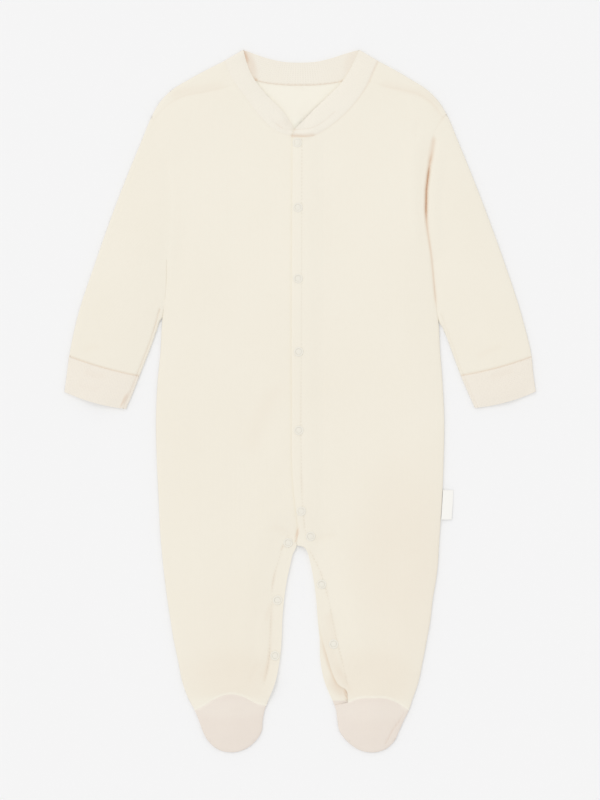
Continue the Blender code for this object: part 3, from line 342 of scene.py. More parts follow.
def read_curve(at, values, wanted):
    """Reads a smooth curve that passes through `values` at the places `at` (cubic Hermite spans)."""
    slopes = np.gradient(values, at, axis=0)
    span = np.clip(np.searchsorted(at, wanted, side="right") - 1, 0, len(at) - 2)
    width = (at[span + 1] - at[span])[:, None]
    t = (wanted[:, None] - at[span][:, None]) / width
    return (
        values[span] * (1 + 2 * t) * (1 - t) ** 2
        + slopes[span] * width * t * (1 - t) ** 2
        + values[span + 1] * t ** 2 * (3 - 2 * t)
        + slopes[span + 1] * width * t ** 2 * (t - 1)
    )


def lengths_along(points):
    """Distance from the first point to each point, along the points."""
    steps = np.linalg.norm(np.diff(points, axis=0), axis=1)
    return np.concatenate([[0.0], np.cumsum(steps)])


def smooth(points, fractions):
    """Places at these fractions (an array of any shape) of the length of a smooth curve."""
    points = np.asarray(points, float)
    at = lengths_along(points)
    fine = read_curve(at, points, np.linspace(0.0, at[-1], 24 * len(points)))
    along = lengths_along(fine)
    wanted = np.asarray(fractions, float) * along[-1]
    return np.stack([np.interp(wanted, along, fine[:, axis]) for axis in range(points.shape[1])], axis=-1)


def evenly(points, count):
    """This many places, evenly spaced along a smooth curve."""
    return smooth(points, np.linspace(0.0, 1.0, count))


def inset(line, amount, towards):
    """Moves a line sideways, to the side on which the place `towards` lies."""
    along = np.gradient(line, axis=0)
    side = np.stack([-along[:, 1], along[:, 0]], axis=1)
    side /= np.linalg.norm(side, axis=1)[:, None]
    middle = len(line) // 2
    if np.dot(side[middle], np.asarray(towards) - line[middle]) < 0:
        side = -side
    return line + side * np.reshape(amount, (-1, 1))


def nearest(line, place):
    """Number of the point of a line that lies nearest a place."""
    return int(np.argmin(np.linalg.norm(line - np.asarray(place), axis=1)))


def at_height(line, y):
    """The point of a line that lies nearest a height up the suit."""
    return line[nearest(line[:, 1:], (y,))]


def between(line, start, end):
    """The stretch of a line from the point nearest one place to the point nearest another."""
    first = nearest(line, start)
    last = nearest(line, end)
    return line[first:last + 1] if first <= last else line[last:first + 1][::-1]


def crossing(line, other):
    """The point of one line that lies nearest another line."""
    return line[np.argmin(distance_to([other], line[:, 0], line[:, 1]))]


def distance_to(lines, x, y, reach=1e4):
    """Distance in the plane from each place to the nearest of some lines, or `reach` if it is farther."""
    best = np.full(np.shape(x), float(reach) ** 2)
    for line in lines:
        for first in range(0, len(line) - 1, 8):
            part = line[first:first + 9]
            low, high = part.min(axis=0) - reach, part.max(axis=0) + reach
            close = (x > low[0]) & (x < high[0]) & (y > low[1]) & (y < high[1])
            if close.any():
                px, py, found = x[close], y[close], best[close]
                for start, end in zip(part[:-1], part[1:]):
                    step = end - start
                    t = np.clip(((px - start[0]) * step[0] + (py - start[1]) * step[1]) / (step @ step), 0.0, 1.0)
                    found = np.minimum(found, (px - start[0] - t * step[0]) ** 2 + (py - start[1] - t * step[1]) ** 2)
                best[close] = found
    return np.sqrt(best)


def bell(line, x, y, width):
    """exp(-(distance / width)²) beside a line."""
    return np.exp(-((distance_to([line], x, y, 4.0 * width) / width) ** 2))


def soft_step(value):
    """0 below 0 and 1 above 1, and between them 3v² - 2v³."""
    value = np.clip(value, 0.0, 1.0)
    return value * value * (3.0 - 2.0 * value)


def directions(line):
    """Direction of a line at each of its points; where it folds back, that of the stretch before."""
    steps = np.diff(line, axis=0)
    steps /= np.maximum(np.linalg.norm(steps, axis=1), 1e-6)[:, None]
    before = np.vstack([steps[:1], steps])
    both = before + np.vstack([steps, steps[-1:]])
    both[np.linalg.norm(both, axis=1) < 1.0] *= 0.0
    both = np.where(both.any(axis=1)[:, None], both, before)
    return both / np.linalg.norm(both, axis=1)[:, None]


def bowed(start, end, bow, count=9):
    """A shallow arc from one place to another, `bow` to the left of its chord at the middle."""
    start, end = np.asarray(start), np.asarray(end)
    across = (end - start) / np.linalg.norm(end - start)
    share = np.linspace(0.0, 1.0, count)[:, None]
    return start + (end - start) * share + np.array([-across[1], across[0]]) * bow * 4 * share * (1 - share)


# ---------------------------------------------------------------- form of the laid-out suit

# The step over which slopes are taken, how far the edges of a side seam stand above and below its
# middle, and the longest distance that is measured.
SLOPE_STEP = 0.03
SEAM_OFFSET = 0.05
WIDE = 40.0
ARM_POINTS, BODY_POINTS, ARMHOLE_POINTS, SEAM_POINTS = 1200, 1600, 480, 40

# In from the outline, the nose ends at this many times its height, the dome at this distance, and
# each kind of relief has come in fully at this one.
NOSE_REACH = 5.0
DOME_REACH = 32.0
FADE_IN = {"folds": 9.0, "creases": 2.5, "waves": 12.0, "seams": 1.2, "rim": 9.0}

# Beside a lapped inner leg the cloth lies flat, with this share of its height left.
FLAT_SHARE, FLAT_NEAR, FLAT_FADE = 0.08, 5.0, 30.0

# Depth and width of the two bells by which the cloth sinks towards the neckband's free edge.
RIM_SINK = ((1.2, 13.0), (1.4, 2.4))

# How far a sleeve's inner edge is pushed over the body's side, and from which height up. There
# the cloth counts as further in from the outline by CLOSE_BY, between the heights in CLOSE_UP.
SLEEVE_PRESS = Curves((1.4, 67.8), (1.2, 62.8))
PRESS_FADE = 4.0
CLOSE_BY = Curves(1.6, 0.6)
CLOSE_UP = (73.0, 9.0, 150.0, 20.0)
CLOSE_ACROSS = (90.0, 135.0)

# Puckers beside a seam: their share of its depth, their distance from it and their width.
PUCKER_SHARE, PUCKER_AWAY, PUCKER_WIDTH = 0.16, 2.4, 1.8
SEAM_REACH = 12.0

# The lapping front: its rolled edge, and where it is raised across and up the body.
LAP_ROLL, LAP_ROLL_WIDTH = 0.7, 1.6
LAP_SIDE, LAP_FADE = 21.0, 16.0
LAP_UP = (-137.5, 16.0, 262.0, 26.0)
CHANNEL_WIDTH = 0.9

# Painted shade and light on the cloth: how far below the seams the inside starts, and how wide the
# painted shade of seams and stitches spreads.
INSIDE_BELOW = 0.15
SEAM_SPREAD = 1.25
STITCH_SHADE_WIDTH = 0.6


class Form:
    """The laid-out suit's heights, from the sizes in the sidebar, in millimetres."""

    def __init__(self, sizes):
        for name in ("jersey", "rib", "seam_height", "nose", "dome", "placket_lift", "unevenness"):
            setattr(self, name, getattr(sizes, name) / MM)
        self.fineness = sizes.fineness
        self.edge_inset = self.jersey / 2
        self.round_edges = []
        for side in SIDE_NAMES:
            self.round_edges += [self.arm_edge(side, ARM_OUTER)[::16], self.arm_edge(side, ARM_INNER)[::16],
                                 self.body_edge(side)[::12], self.neck_fold(side)]
        self.lap_edges = [evenly(getattr(INSEAM, side)[2:], 24) for side in SIDE_NAMES]
        self.lap_edges.append(evenly(FRONT_LEG_EDGE.left[LAPPED_ANKLE], 24))
        self.lap_rim = evenly(PLACKET_LINE.left, SEAM_POINTS)
        self.band_rims = [evenly([row[2:] for row in getattr(BAND_FRONT, side)[1:]], 60) for side in SIDE_NAMES]
        self.seams = [seam._replace(line=evenly(seam.line, SEAM_POINTS)) for seam in SEAMS]
        for side in SIDE_NAMES:
            inner = inset(evenly(getattr(ARM_INNER, side)[2:], 60), UNDERARM_INSET, arm_middle(side))
            self.seams.append(Seam("cuff " + side, *CUFF_RELIEF, cuff_seam_line(side)))
            self.seams.append(Seam("underarm " + side, *getattr(UNDERARM_RELIEF, side), inner))
        self.back_neck = BACK_NECK_SEAM._replace(line=evenly(BACK_NECK_SEAM.line, SEAM_POINTS))
        self.topstitching = [row._replace(line=evenly(row.line, 24)) for row in TOPSTITCHING if row.depth]

    def arm_edge(self, side, table):
        """Outer or inner edge of the arm at the middle of its standing wall, run on past the mouth."""
        points = np.array(getattr(table, side))
        last = points[-1] - points[-2]
        line = evenly(np.vstack([points, points[-1] + last / np.linalg.norm(last) * MOUTH_REACH]), ARM_POINTS)
        overlap, start = getattr(SLEEVE_PRESS, side)
        pressed = soft_step((line[:, 1] - start) / PRESS_FADE) if table is ARM_INNER else 0.0
        return inset(line, self.edge_inset - overlap * pressed, arm_middle(side))

    def body_edge(self, side):
        """Side seam from the underarm down to the ankle, and on round the foot to the inner ankle."""
        points = getattr(SIDE_SEAM, side)[::-1] + getattr(FOOT_OUTLINE, side)
        return inset(evenly(points, BODY_POINTS), self.edge_inset, (0.0, 0.0))

    def neck_fold(self, side):
        """The short fold where the neckband turns from the upper layer to the lower."""
        row = getattr(BAND_FRONT, side)[-1]
        return inset(np.array([row[:2], row[2:]]), self.edge_inset, (0.0, BACK_NECK_Y))

    def outer_boundary(self, side):
        """Outer line of the body, from the toe up the side seam and the armhole."""
        return np.vstack([self.body_edge(side)[::-1], armhole_line(side)[1:]])

    def from_edge(self, x, y):
        """Distance to the rounded outline; more where the sleeve lies close against the body."""
        away = distance_to(self.round_edges, x, y, WIDE)
        beside = (np.abs(x) > CLOSE_ACROSS[0]) & (np.abs(x) < CLOSE_ACROSS[1])
        return away + within(y, *CLOSE_UP) * np.where(x < 0.0, CLOSE_BY.right, CLOSE_BY.left) * beside

    def upper(self, x, y):
        """Seam height, plus an elliptical nose and a low sine dome by the distance from the outline.

        Folds, creases, seam grooves, puckers and a slow unevenness are added; all die out at the edge.
        Round the neck the cloth sinks towards the band's free edge, which rolls down.
        """
        away = self.from_edge(x, y)
        nose = self.nose * quarter_arc(away / (NOSE_REACH * self.nose))
        dome = self.dome * np.sin(0.5 * np.pi * np.clip(away / DOME_REACH, 0.0, 1.0))
        loose = soft_step((distance_to(self.lap_edges, x, y, FLAT_NEAR + FLAT_FADE) - FLAT_NEAR) / FLAT_FADE)
        height = self.seam_height + (nose + dome) * (FLAT_SHARE + (1.0 - FLAT_SHARE) * loose)
        from_rim = distance_to(self.band_rims, x, y, WIDE)
        sunk = sum(depth * np.exp(-((from_rim / width) ** 2)) for depth, width in RIM_SINK)
        relief = {
            "folds": total_of(FOLDS, x, y, "rise"),
            "creases": total_of(CREASES, x, y, "rise"),
            "waves": self.slow_waves(x, y),
            "seams": self.seam_relief(x, y),
            "rim": -sunk,
        }
        for kind, rise in relief.items():
            height = height + rise * soft_step(away / FADE_IN[kind])
        return np.maximum(height, self.seam_height - 2 * SEAM_OFFSET)

    def slow_waves(self, x, y):
        """A few crossing sine waves 40 to 110 mm long, so that no stretch of cloth lies dead flat."""
        return self.unevenness * (
            np.sin(x / 17.0 + 0.9 * np.sin(y / 41.0) + 1.3)
            + 0.8 * np.sin(y / 13.0 + 1.1 * np.sin(x / 29.0) + 0.4)
            + 0.6 * np.sin((x + y) / 9.5 + 0.8 * np.sin((x - y) / 33.0))
        ) / 2.4

    def seam_relief(self, x, y):
        """A groove along each seam, and puckers beside it that ripple along the seam."""
        total = np.zeros(np.shape(x))
        ripple = np.sin(0.9 * x + 0.7 * y + 2.0 * np.sin(0.11 * x - 0.17 * y))
        for seam in self.seams:
            away = distance_to([seam.line], x, y, SEAM_REACH)
            total -= seam.depth * np.exp(-((away / seam.half_width) ** 2))
            total += PUCKER_SHARE * seam.depth * ripple * np.exp(-((away - PUCKER_AWAY) / PUCKER_WIDTH) ** 2)
        return total

    def front(self, side):
        """Height of one front: the upper layer with its channels of topstitching.

        The wearer's left front is raised where it laps on the other, and its free edge rolled down.
        """
        def height(x, y):
            channels = sum(row.depth * bell(row.line, x, y, CHANNEL_WIDTH) for row in self.topstitching)
            if side == "right":
                return self.upper(x, y) - channels
            lapped = self.placket_lift * soft_step((LAP_SIDE - x) / LAP_FADE) * within(y, *LAP_UP)
            return self.upper(x, y) + lapped - LAP_ROLL * bell(self.lap_rim, x, y, LAP_ROLL_WIDTH) - channels
        return height

    def lower(self, thickness):
        """Height of the lower layer: on the floor, turned up in a quarter circle to the seam at the edge."""
        turn = max(self.seam_height - thickness / 2, 0.2)

        def height(x, y):
            away = distance_to(self.round_edges, x, y, WIDE)
            return thickness / 2 + turn * (1.0 - quarter_arc(away / turn))
        return height

    def shade(self, points, piece):
        """Painted shade (above 0, up to 1) or painted light (below 0) of each point, from folds and seams."""
        x, y, z = points.T
        high = z > self.seam_height - INSIDE_BELOW
        # Painted shade, and below 0 painted light, along folds, creases, seams and stitching, on the upper layer
        # only.
        total = total_of(FOLDS, x, y, "shade") + total_of(CREASES, x, y, "shade")
        for seam in self.seams:
            total += seam.shade * bell(seam.line, x, y, SEAM_SPREAD * seam.half_width)
        for row in self.topstitching:
            total += row.shade * bell(row.line, x, y, STITCH_SHADE_WIDTH)
        total = total * high
        # The seam inside the back of the neck gets painted shade in dashes, on the lower layer only.
        dashed = 0.75 + 0.25 * np.sin(1.5 * x + 0.8 * np.sin(0.13 * x))
        total += self.back_neck.shade * dashed * bell(self.back_neck.line, x, y, self.back_neck.half_width) * ~high
        # Patches of painted shade (above 0) or painted light (below 0).
        for patch in PATCHES:
            along = y - patch.y
            across = x - patch.x - patch.lean * along
            reach = (across / patch.across) ** 2 + (along / patch.along) ** 2
            where = high if not patch.piece else ~high & (patch.piece == piece)
            total += patch.amount * np.exp(-reach ** 2) * where
        return total


def quarter_arc(share):
    """Rises from 0 to 1 as a quarter of a circle does, steep at first."""
    return np.sqrt(1.0 - (1.0 - np.clip(share, 0.0, 1.0)) ** 2)


def within(value, low, low_fade, high, high_fade):
    """1 between two bounds, falling softly to 0 at each of them."""
    return soft_step((value - low) / low_fade) * soft_step((high - value) / high_fade)


def arm_middle(side):
    """A place well inside the sleeve, which its edges face away from."""
    return 150.0 * SIGN[side], 120.0


def foot_middle(side):
    """A place well inside the foot, which its edges face away from."""
    return 60.0 * SIGN[side], -268.0


def armhole_line(side):
    """The armhole seam, from the underarm up to the shoulder tip."""
    return evenly(getattr(ARMHOLE, side), ARMHOLE_POINTS)


def shoulder_seam(side):
    """The forward shoulder seam, run exactly to the armhole."""
    points = np.array(getattr(SHOULDER_SEAM, side))
    armhole = armhole_line(side)
    points[-1] = armhole[nearest(armhole, points[-1])]
    return points


def total_of(folds, x, y, field):
    """Sum of bells of one field (rise or shade), each full along a fold's middle and gone at its ends."""
    total = np.zeros(np.shape(x))
    for fold in folds:
        line = evenly(fold.line, 16)
        chord = line[-1] - line[0]
        part = ((x - line[0][0]) * chord[0] + (y - line[0][1]) * chord[1]) / (chord @ chord)
        ends = within(part, 0.0, FOLD_ENDS, 1.0, FOLD_ENDS)
        total += getattr(fold, field) * bell(line, x, y, fold.half_width) * ends
    return total


# ---------------------------------------------------------------- grids and walls

CROWDING = 1.7


def fine_places(near, fineness):
    """Distances from an edge up to `near`, by a power of their share: closest together at the edge."""
    count = max(4, int(9 * fineness))
    return near * np.linspace(0.0, 1.0, count) ** CROWDING


def even_places(near, fineness):
    """Distances from an edge that grow evenly from 0 to `near`."""
    return np.linspace(0.0, near, max(3, int(6 * fineness)))


# How far from an edge the places crowd together, in millimetres.
NEAR_EDGE = 7.0
NEAR_LAP = 12.0
NEAR_MIDDLE = 9.0
NEAR_TOE = 5.0
NEAR_FOLD = 2.2

# Across a row, the share of the length over which the bend of an end row fades out: at one edge, in
# the middle and at the other edge.
FADE_PLACES = (0.0, 0.08, 0.25, 0.75, 0.92, 1.0)
PLAIN_FADES = (0.3, 0.3, 0.3)
FOOT_FADES = (0.02, 0.5, 0.02)
CROWDED_SHARE = 0.35


def plan(starts, ends, near_start, near_end, middle, first=None, last=None, fades=PLAIN_FADES):
    """Grid of places in straight rows from `starts` to `ends`.

    Places crowd near both ends of a row. The first and last rows can follow curves of their
    own, whose bend, the curve less its chord, fades out over the rows beside them.
    """
    span = ends - starts
    length = np.linalg.norm(span, axis=1)[:, None]
    start = near_start * np.minimum(1.0, CROWDED_SHARE * length / near_start[-1])
    end = length - near_end[::-1] * np.minimum(1.0, CROWDED_SHARE * length / near_end[-1])
    share = np.linspace(0.0, 1.0, middle + 2)[1:-1]
    inner = start[:, -1:] + (end[:, :1] - start[:, -1:]) * share
    fractions = np.concatenate([start, inner, end], axis=1) / length
    grid = starts[:, None] + span[:, None] * fractions[..., None]
    along = lengths_along((starts + ends) / 2)
    along = (along / along[-1])[:, None]
    fade = np.interp(fractions, FADE_PLACES, np.repeat(fades, 2))
    for curve, far in ((first, along), (last, 1.0 - along)):
        if curve is not None:
            bent = smooth(curve, fractions)
            chord = bent[:, :1] + (bent[:, -1:] - bent[:, :1]) * fractions[..., None]
            grid = grid + (bent - chord) * (1.0 - soft_step(far / fade))[..., None]
    return grid


def plans(outer, stretches, near_start, near_end, middle, fineness):
    """Plans one above the other, each from its own inner edge to a stretch of the outer line."""
    blocks = []
    for edge, low, high, rows, first, last in stretches:
        rows = int(rows * fineness)
        ends = evenly(between(outer, low, high), rows)
        blocks.append(plan(evenly(edge, rows), ends, near_start, near_end, int(middle * fineness), first, last))
    return np.concatenate([blocks[0]] + [block[1:] for block in blocks[1:]])


def raised(grid, height):
    """The places of a grid with their heights."""
    return np.concatenate([grid, height[..., None]], axis=2)


def layer(grid, height):
    """Points above the places of a grid and their upward normals, the slopes taken by differences."""
    x, y = grid[..., 0], grid[..., 1]
    slope_x = (height(x + SLOPE_STEP, y) - height(x - SLOPE_STEP, y)) / (2 * SLOPE_STEP)
    slope_y = (height(x, y + SLOPE_STEP) - height(x, y - SLOPE_STEP)) / (2 * SLOPE_STEP)
    normal = np.stack([-slope_x, -slope_y, np.ones(x.shape)], axis=2)
    return raised(grid, height(x, y)), normal / np.linalg.norm(normal, axis=2)[..., None]


def level_normals(line, inside):
    """Level normals along a standing edge, pointing away from a place inside the piece."""
    along = directions(line[:, :2])
    across = np.stack([-along[:, 1], along[:, 0], np.zeros(len(line))], axis=1)
    outward = ((line[:, :2] - inside) * across[:, :2]).sum(axis=1)
    return across * np.sign(outward)[:, None]


def flipped(points, normals, side):
    """A sheet with its columns running towards +X, so that all sheets run the same way round."""
    return (points[:, ::-1], normals[:, ::-1]) if side == "right" else (points, normals)


def stand_side_seam(points, normals, height):
    """Stands the outer column on edge at a height, from the ankle up to the underarm."""
    seam = points[:, -1, 1] <= UNDERARM_Y
    points[seam, -1, 2] = height
    normals[seam, -1] = level_normals(points[:, -1], BODY_MIDDLE)[seam]


def grid_faces(rows, columns, around=False):
    """Faces between the neighbours of a grid that is numbered row by row, closed round if asked."""
    number = np.arange(rows * columns).reshape(rows, columns)
    if around:
        number = np.concatenate([number, number[:, :1]], axis=1)
    corners = (number[:-1, :-1], number[:-1, 1:], number[1:, 1:], number[1:, :-1])
    return np.stack([corner.ravel() for corner in corners], 1)


def cloth_uv(grid, grain):
    """Distances over the cloth in metres: across the grain and along it, or along and across the rows."""
    if grain is None:
        across = np.linalg.norm(np.diff(grid, axis=1), axis=2)
        across = np.concatenate([np.zeros((len(grid), 1)), np.cumsum(across, axis=1)], axis=1)
        upward = np.linalg.norm(np.diff(grid, axis=0), axis=2).mean(axis=1)
        upward = np.concatenate([[0.0], np.cumsum(upward)])
        return np.stack([np.broadcast_to(upward[:, None], across.shape), across], axis=2) * MM
    x, y = grid[..., 0], grid[..., 1]
    turn = np.radians(grain)
    return np.stack([x * np.cos(turn) - y * np.sin(turn), x * np.sin(turn) + y * np.cos(turn)], axis=-1) * MM


def wall_piece(name, sheets, thickness, finish, form, around=(), grain=0.0):
    """One piece of cloth: the middle surface moved out by half its thickness both ways, and a rim.

    All sheets run the same way round, and where they share points they are one. Sheets numbered
    in `around` close into tubes. Knit runs along the grain, turned by some degrees, or along the
    sheet itself where the grain is None.
    """
    points = np.concatenate([grid.reshape(-1, 3) for grid, _ in sheets])
    normals = np.concatenate([normal.reshape(-1, 3) for _, normal in sheets])
    uv = np.concatenate([cloth_uv(grid, grain).reshape(-1, 2) for grid, _ in sheets])
    starts = np.cumsum([0] + [grid.shape[0] * grid.shape[1] for grid, _ in sheets[:-1]])
    faces = [grid_faces(*grid.shape[:2], number in around) + start
             for number, ((grid, _), start) in enumerate(zip(sheets, starts))]
    _, first, same = np.unique(np.round(points, 3), axis=0, return_index=True, return_inverse=True)
    summed = np.zeros((len(first), 3))
    np.add.at(summed, same.ravel(), normals)
    summed /= np.linalg.norm(summed, axis=1)[:, None]
    points, uv = points[first], uv[first]
    faces = same.ravel()[np.concatenate(faces)]
    count = len(points)
    edges = np.concatenate([faces[:, [i, (i + 1) % 4]] for i in range(4)])
    free = ~np.isin(edges @ (count, 1), edges @ (1, count))
    a, b = edges[free].T
    walls = np.concatenate([faces, faces[:, ::-1] + count, np.stack([b, a, a + count, b + count], 1)])
    shells = np.concatenate([points + summed * thickness / 2, points - summed * thickness / 2])
    # Painted shade and light of each point, kept with the mesh for the cloth's colour.
    shade = form.shade(points, name)
    return make_piece(name, shells, walls, finish, np.concatenate([uv, uv]), np.concatenate([shade, shade]))


def make_piece(name, points, faces, finish, uv=None, shade=None):
    """A mesh object at the origin from points in millimetres and faces of four corners each."""
    mesh = bpy.data.meshes.new(name)
    mesh.vertices.add(len(points))
    mesh.vertices.foreach_set("co", (points * MM).astype(np.float32).ravel())
    mesh.loops.add(faces.size)
    mesh.loops.foreach_set("vertex_index", faces.astype(np.int32).ravel())
    mesh.polygons.add(len(faces))
    mesh.polygons.foreach_set("loop_start", np.arange(0, faces.size, 4, dtype=np.int32))
    mesh.update(calc_edges=True)
    if uv is not None:
        laid = mesh.uv_layers.new(name="cloth")
        laid.uv.foreach_set("vector", uv[faces.ravel()].astype(np.float32).ravel())
    # The painted shade and light of each point, read by the cloth's material.
    if shade is not None:
        mesh.attributes.new("shade", "FLOAT", "POINT").data.foreach_set("value", shade.astype(np.float32))
    mesh.validate()
    shape = bmesh.new()
    shape.from_mesh(mesh)
    bmesh.ops.remove_doubles(shape, verts=shape.verts, dist=1e-7)
    bmesh.ops.recalc_face_normals(shape, faces=shape.faces)
    shape.to_mesh(mesh)
    shape.free()
    mesh.shade_smooth()
    mesh.set_sharp_from_angle(angle=np.radians(50.0))
    mesh.materials.append(finish_of(finish))
    piece = bpy.data.objects.new(name, mesh)
    bpy.context.scene.collection.objects.link(piece)
    return piece


def dress(piece, node):
    """Puts a piece in a CAD node's place: hangs it under the root body and hides the node."""
    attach(piece, "root")
    if node:
        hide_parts(node)


# ---------------------------------------------------------------- materials

class Shade:
    """A shader socket that adds, takes away and multiplies like a number."""

    def __init__(self, tree, socket):
        self.tree = tree
        self.socket = socket

    def node(self, kind, inputs=(), output=0, **settings):
        """Adds a node of a type, with its settings and the values or links of its sockets."""
        made = self.tree.nodes.new(kind)
        for key, value in settings.items():
            setattr(made, key, value)
        for place, value in dict(inputs).items():
            if isinstance(value, Shade):
                self.tree.links.new(value.socket, made.inputs[place])
            else:
                made.inputs[place].default_value = value
        return Shade(self.tree, made.outputs[output])

    def maths(self, operation, first, second, clamp=False):
        return self.node("ShaderNodeMath", {0: first, 1: second}, operation=operation, use_clamp=clamp)

    def __add__(self, other):
        return self.maths("ADD", self, other)

    def __radd__(self, other):
        return self.maths("ADD", other, self)

    def __sub__(self, other):
        return self.maths("SUBTRACT", self, other)

    def __rsub__(self, other):
        return self.maths("SUBTRACT", other, self)

    def __mul__(self, other):
        return self.maths("MULTIPLY", self, other)

    def __rmul__(self, other):
        return self.maths("MULTIPLY", other, self)

    def sine(self):
        return self.node("ShaderNodeMath", {0: self}, operation="SINE")

    def clamped(self):
        return self.maths("ADD", self, 0.0, clamp=True)

    def mixed(self, first, second):
        """The first colour where this value is 0 and the second where it is 1."""
        return self.node("ShaderNodeMix", {0: self, 6: first, 7: second}, output=2, data_type="RGBA")


class Finish:
    """A material and its Principled shader, fed from Shades that start at the place on the object."""

    def __init__(self, name, colour, roughness):
        self.material = bpy.data.materials.new(name)
        self.material.use_nodes = True
        self.material.diffuse_color = (*colour, 1.0)
        self.tree = self.material.node_tree
        self.inputs = self.tree.nodes["Principled BSDF"].inputs
        self.inputs["Base Color"].default_value = (*colour, 1.0)
        self.inputs["Roughness"].default_value = roughness
        self.inputs["Specular IOR Level"].default_value = 0.25

    def texture(self, kind, sockets, output=0, **settings):
        """A texture that reads the place on the object."""
        place = Shade(self.tree, None).node("ShaderNodeTexCoord", output=3)
        return place.node(kind, {"Vector": place, **sockets}, output, **settings)

    def noise(self, scale, detail=2.0, roughness=0.5):
        """Cloudiness from 0 to 1, about this many clouds to the metre."""
        return self.texture("ShaderNodeTexNoise", {"Scale": scale, "Detail": detail, "Roughness": roughness})

    def threads(self, scale, direction, distortion=0.0):
        """Fine sine lines across one direction of the object."""
        return self.texture("ShaderNodeTexWave", {"Scale": scale, "Distortion": distortion}, 1,
                            bands_direction=direction)

    def feed(self, socket, shade):
        """Links a Shade to a socket of the shader."""
        self.tree.links.new(shade.socket, self.inputs[socket])

    def bump(self, height, strength, depth):
        """Relief of a depth in millimetres."""
        self.feed("Normal", height.node("ShaderNodeBump", {"Height": height, "Strength": strength,
                                                           "Distance": depth * MM}))


# Each knitted cloth: its colour in the sidebar, the pitch of its wales and the depth of its relief in
# millimetres. The pitch of the courses is a share of the wales'.
CLOTHS = {
    "body_jersey": ("jersey_colour", 1.1, 0.12),
    "cuff_rib": ("cuff_colour", 2.1, 0.35),
    "neck_rib": ("neck_colour", 2.1, 0.25),
    "foot_jersey": ("foot_colour", 1.1, 0.14),
}
COURSE_PITCH = 0.8

# Shares of wales, courses and fuzz in the relief, and of two kinds of drift and the wales in the colour.
WALES, COURSES, FUZZ = 0.5, 0.22, 0.8
SLOW_DRIFT, FINE_DRIFT, WALE_TINT, TINT_FLOOR = 0.7, 0.2, 0.03, 0.05
SHADOW_TINT = (0.985, 0.972, 0.95)
LIGHT_TINT = 1.015


def knitted(name, look, colour, wale, relief):
    """Knitted cotton: wales across the cloth, courses up it, fuzz, and a slow drift of colour.

    The bump is a sine across plus a weaker sine up, in the cloth's own distances. The "shade"
    of the points mixes in painted shade, a warm darker colour, above 0, and below 0 the paler
    inside colour, which is the reverse of the jersey and also painted light.
    """
    colour = tuple(getattr(look, colour))
    finish = Finish(name, colour, 0.92)
    cloth = Shade(finish.tree, None).node("ShaderNodeUVMap", uv_map="cloth")
    across = cloth.node("ShaderNodeSeparateXYZ", {0: cloth}, output=0)
    upward = cloth.node("ShaderNodeSeparateXYZ", {0: cloth}, output=1)
    wales = (across * (2 * np.pi / (wale * MM))).sine()
    courses = (upward * (2 * np.pi / (COURSE_PITCH * wale * MM))).sine()
    fuzz = finish.noise(900.0, 3.0, 0.6)
    finish.bump(wales * WALES + courses * COURSES + fuzz * FUZZ, look.knit_strength, relief)
    light = tuple(min(1.0, part * LIGHT_TINT) for part in colour)
    shadow = tuple(part * tint for part, tint in zip(colour, SHADOW_TINT))
    drift = finish.noise(14.0, 3.0, 0.55) * SLOW_DRIFT + finish.noise(260.0) * FINE_DRIFT
    drift = drift + wales * WALE_TINT + TINT_FLOOR
    plain = drift.clamped().mixed((*shadow, 1.0), (*light, 1.0))
    # Painted shade: the warm darker colour mixed in where the shade is above 0. Painted light: the paler inside
    # colour where it is below 0, which is also the reverse of the jersey inside the back.
    shade = cloth.node("ShaderNodeAttribute", attribute_name="shade", output=2)
    with_painted_shade = shade.clamped().mixed(plain, (*look.painted_shade_colour, 1.0))
    finish.feed("Base Color", (0.0 - shade).clamped().mixed(with_painted_shade, (*look.inside_and_painted_light_colour, 1.0)))
    finish.inputs["Sheen Weight"].default_value = look.sheen
    finish.inputs["Sheen Roughness"].default_value = 0.6
    return finish.material


def enamel(look):
    """Enamelled ring of a snap: smooth, with a faint cloudiness in its gloss."""
    finish = Finish("enamel", tuple(look.snap_colour), 0.38)
    finish.feed("Roughness", finish.noise(420.0) * 0.2 + 0.28)
    return finish.material


def thread(look):
    """Sewing thread: matt, with its twist as fine slanting lines."""
    finish = Finish("thread", tuple(look.thread_colour), 0.7)
    finish.bump(finish.threads(900.0, "DIAGONAL", 1.0), 0.3, 0.05)
    return finish.material


def ribbon(look):
    """Woven label ribbon: close fine threads both ways."""
    finish = Finish("ribbon", tuple(look.label_colour), 0.6)
    finish.bump(finish.threads(700.0, "X") * 0.5 + finish.threads(700.0, "Y") * 0.5, 0.25, 0.06)
    return finish.material


FINISHES = {"enamel": enamel, "thread": thread, "ribbon": ribbon}


def finish_of(name):
    """The material of this name, made the first time it is asked for."""
    look = bpy.context.scene.suit_look
    if name in bpy.data.materials:
        return bpy.data.materials[name]
    return FINISHES[name](look) if name in FINISHES else knitted(name, look, *CLOTHS[name])


# ---------------------------------------------------------------- panels

def front_sheet(form, side):
    """One front with its leg: leg, body and yoke, from the foot seam to the shoulder seam."""
    ankle = np.array(getattr(FRONT_ANKLE, side))
    crotch = getattr(SIDE_SEAM, side)[CROTCH_LEVEL]
    yoke_start = at_height(armhole_line(side), YOKE_START_Y)
    shoulder = shoulder_seam(side)
    stretches = (
        (getattr(FRONT_LEG_EDGE, side), ankle[-1], crotch, 60, ankle, None),
        (getattr(PLACKET_LINE, side), crotch, yoke_start, 150, None, None),
        (evenly(getattr(NECKLINE, side), 60), yoke_start, shoulder[-1], 50, None, shoulder),
    )
    fine = form.fineness
    grid = plans(form.outer_boundary(side), stretches, fine_places(NEAR_LAP, fine), fine_places(NEAR_EDGE, fine),
                 68, fine)
    points, normals = layer(grid, form.front(side))
    stand_side_seam(points, normals, form.seam_height + SEAM_OFFSET)
    return flipped(points, normals, side)


def moved_to(line, other, amount):
    """A line moved towards another by an amount, or by a share of the way where they are close."""
    step = other - line
    length = np.linalg.norm(step, axis=1)[:, None]
    return line + step / length * np.minimum(amount, length * amount / (amount + 1.5))


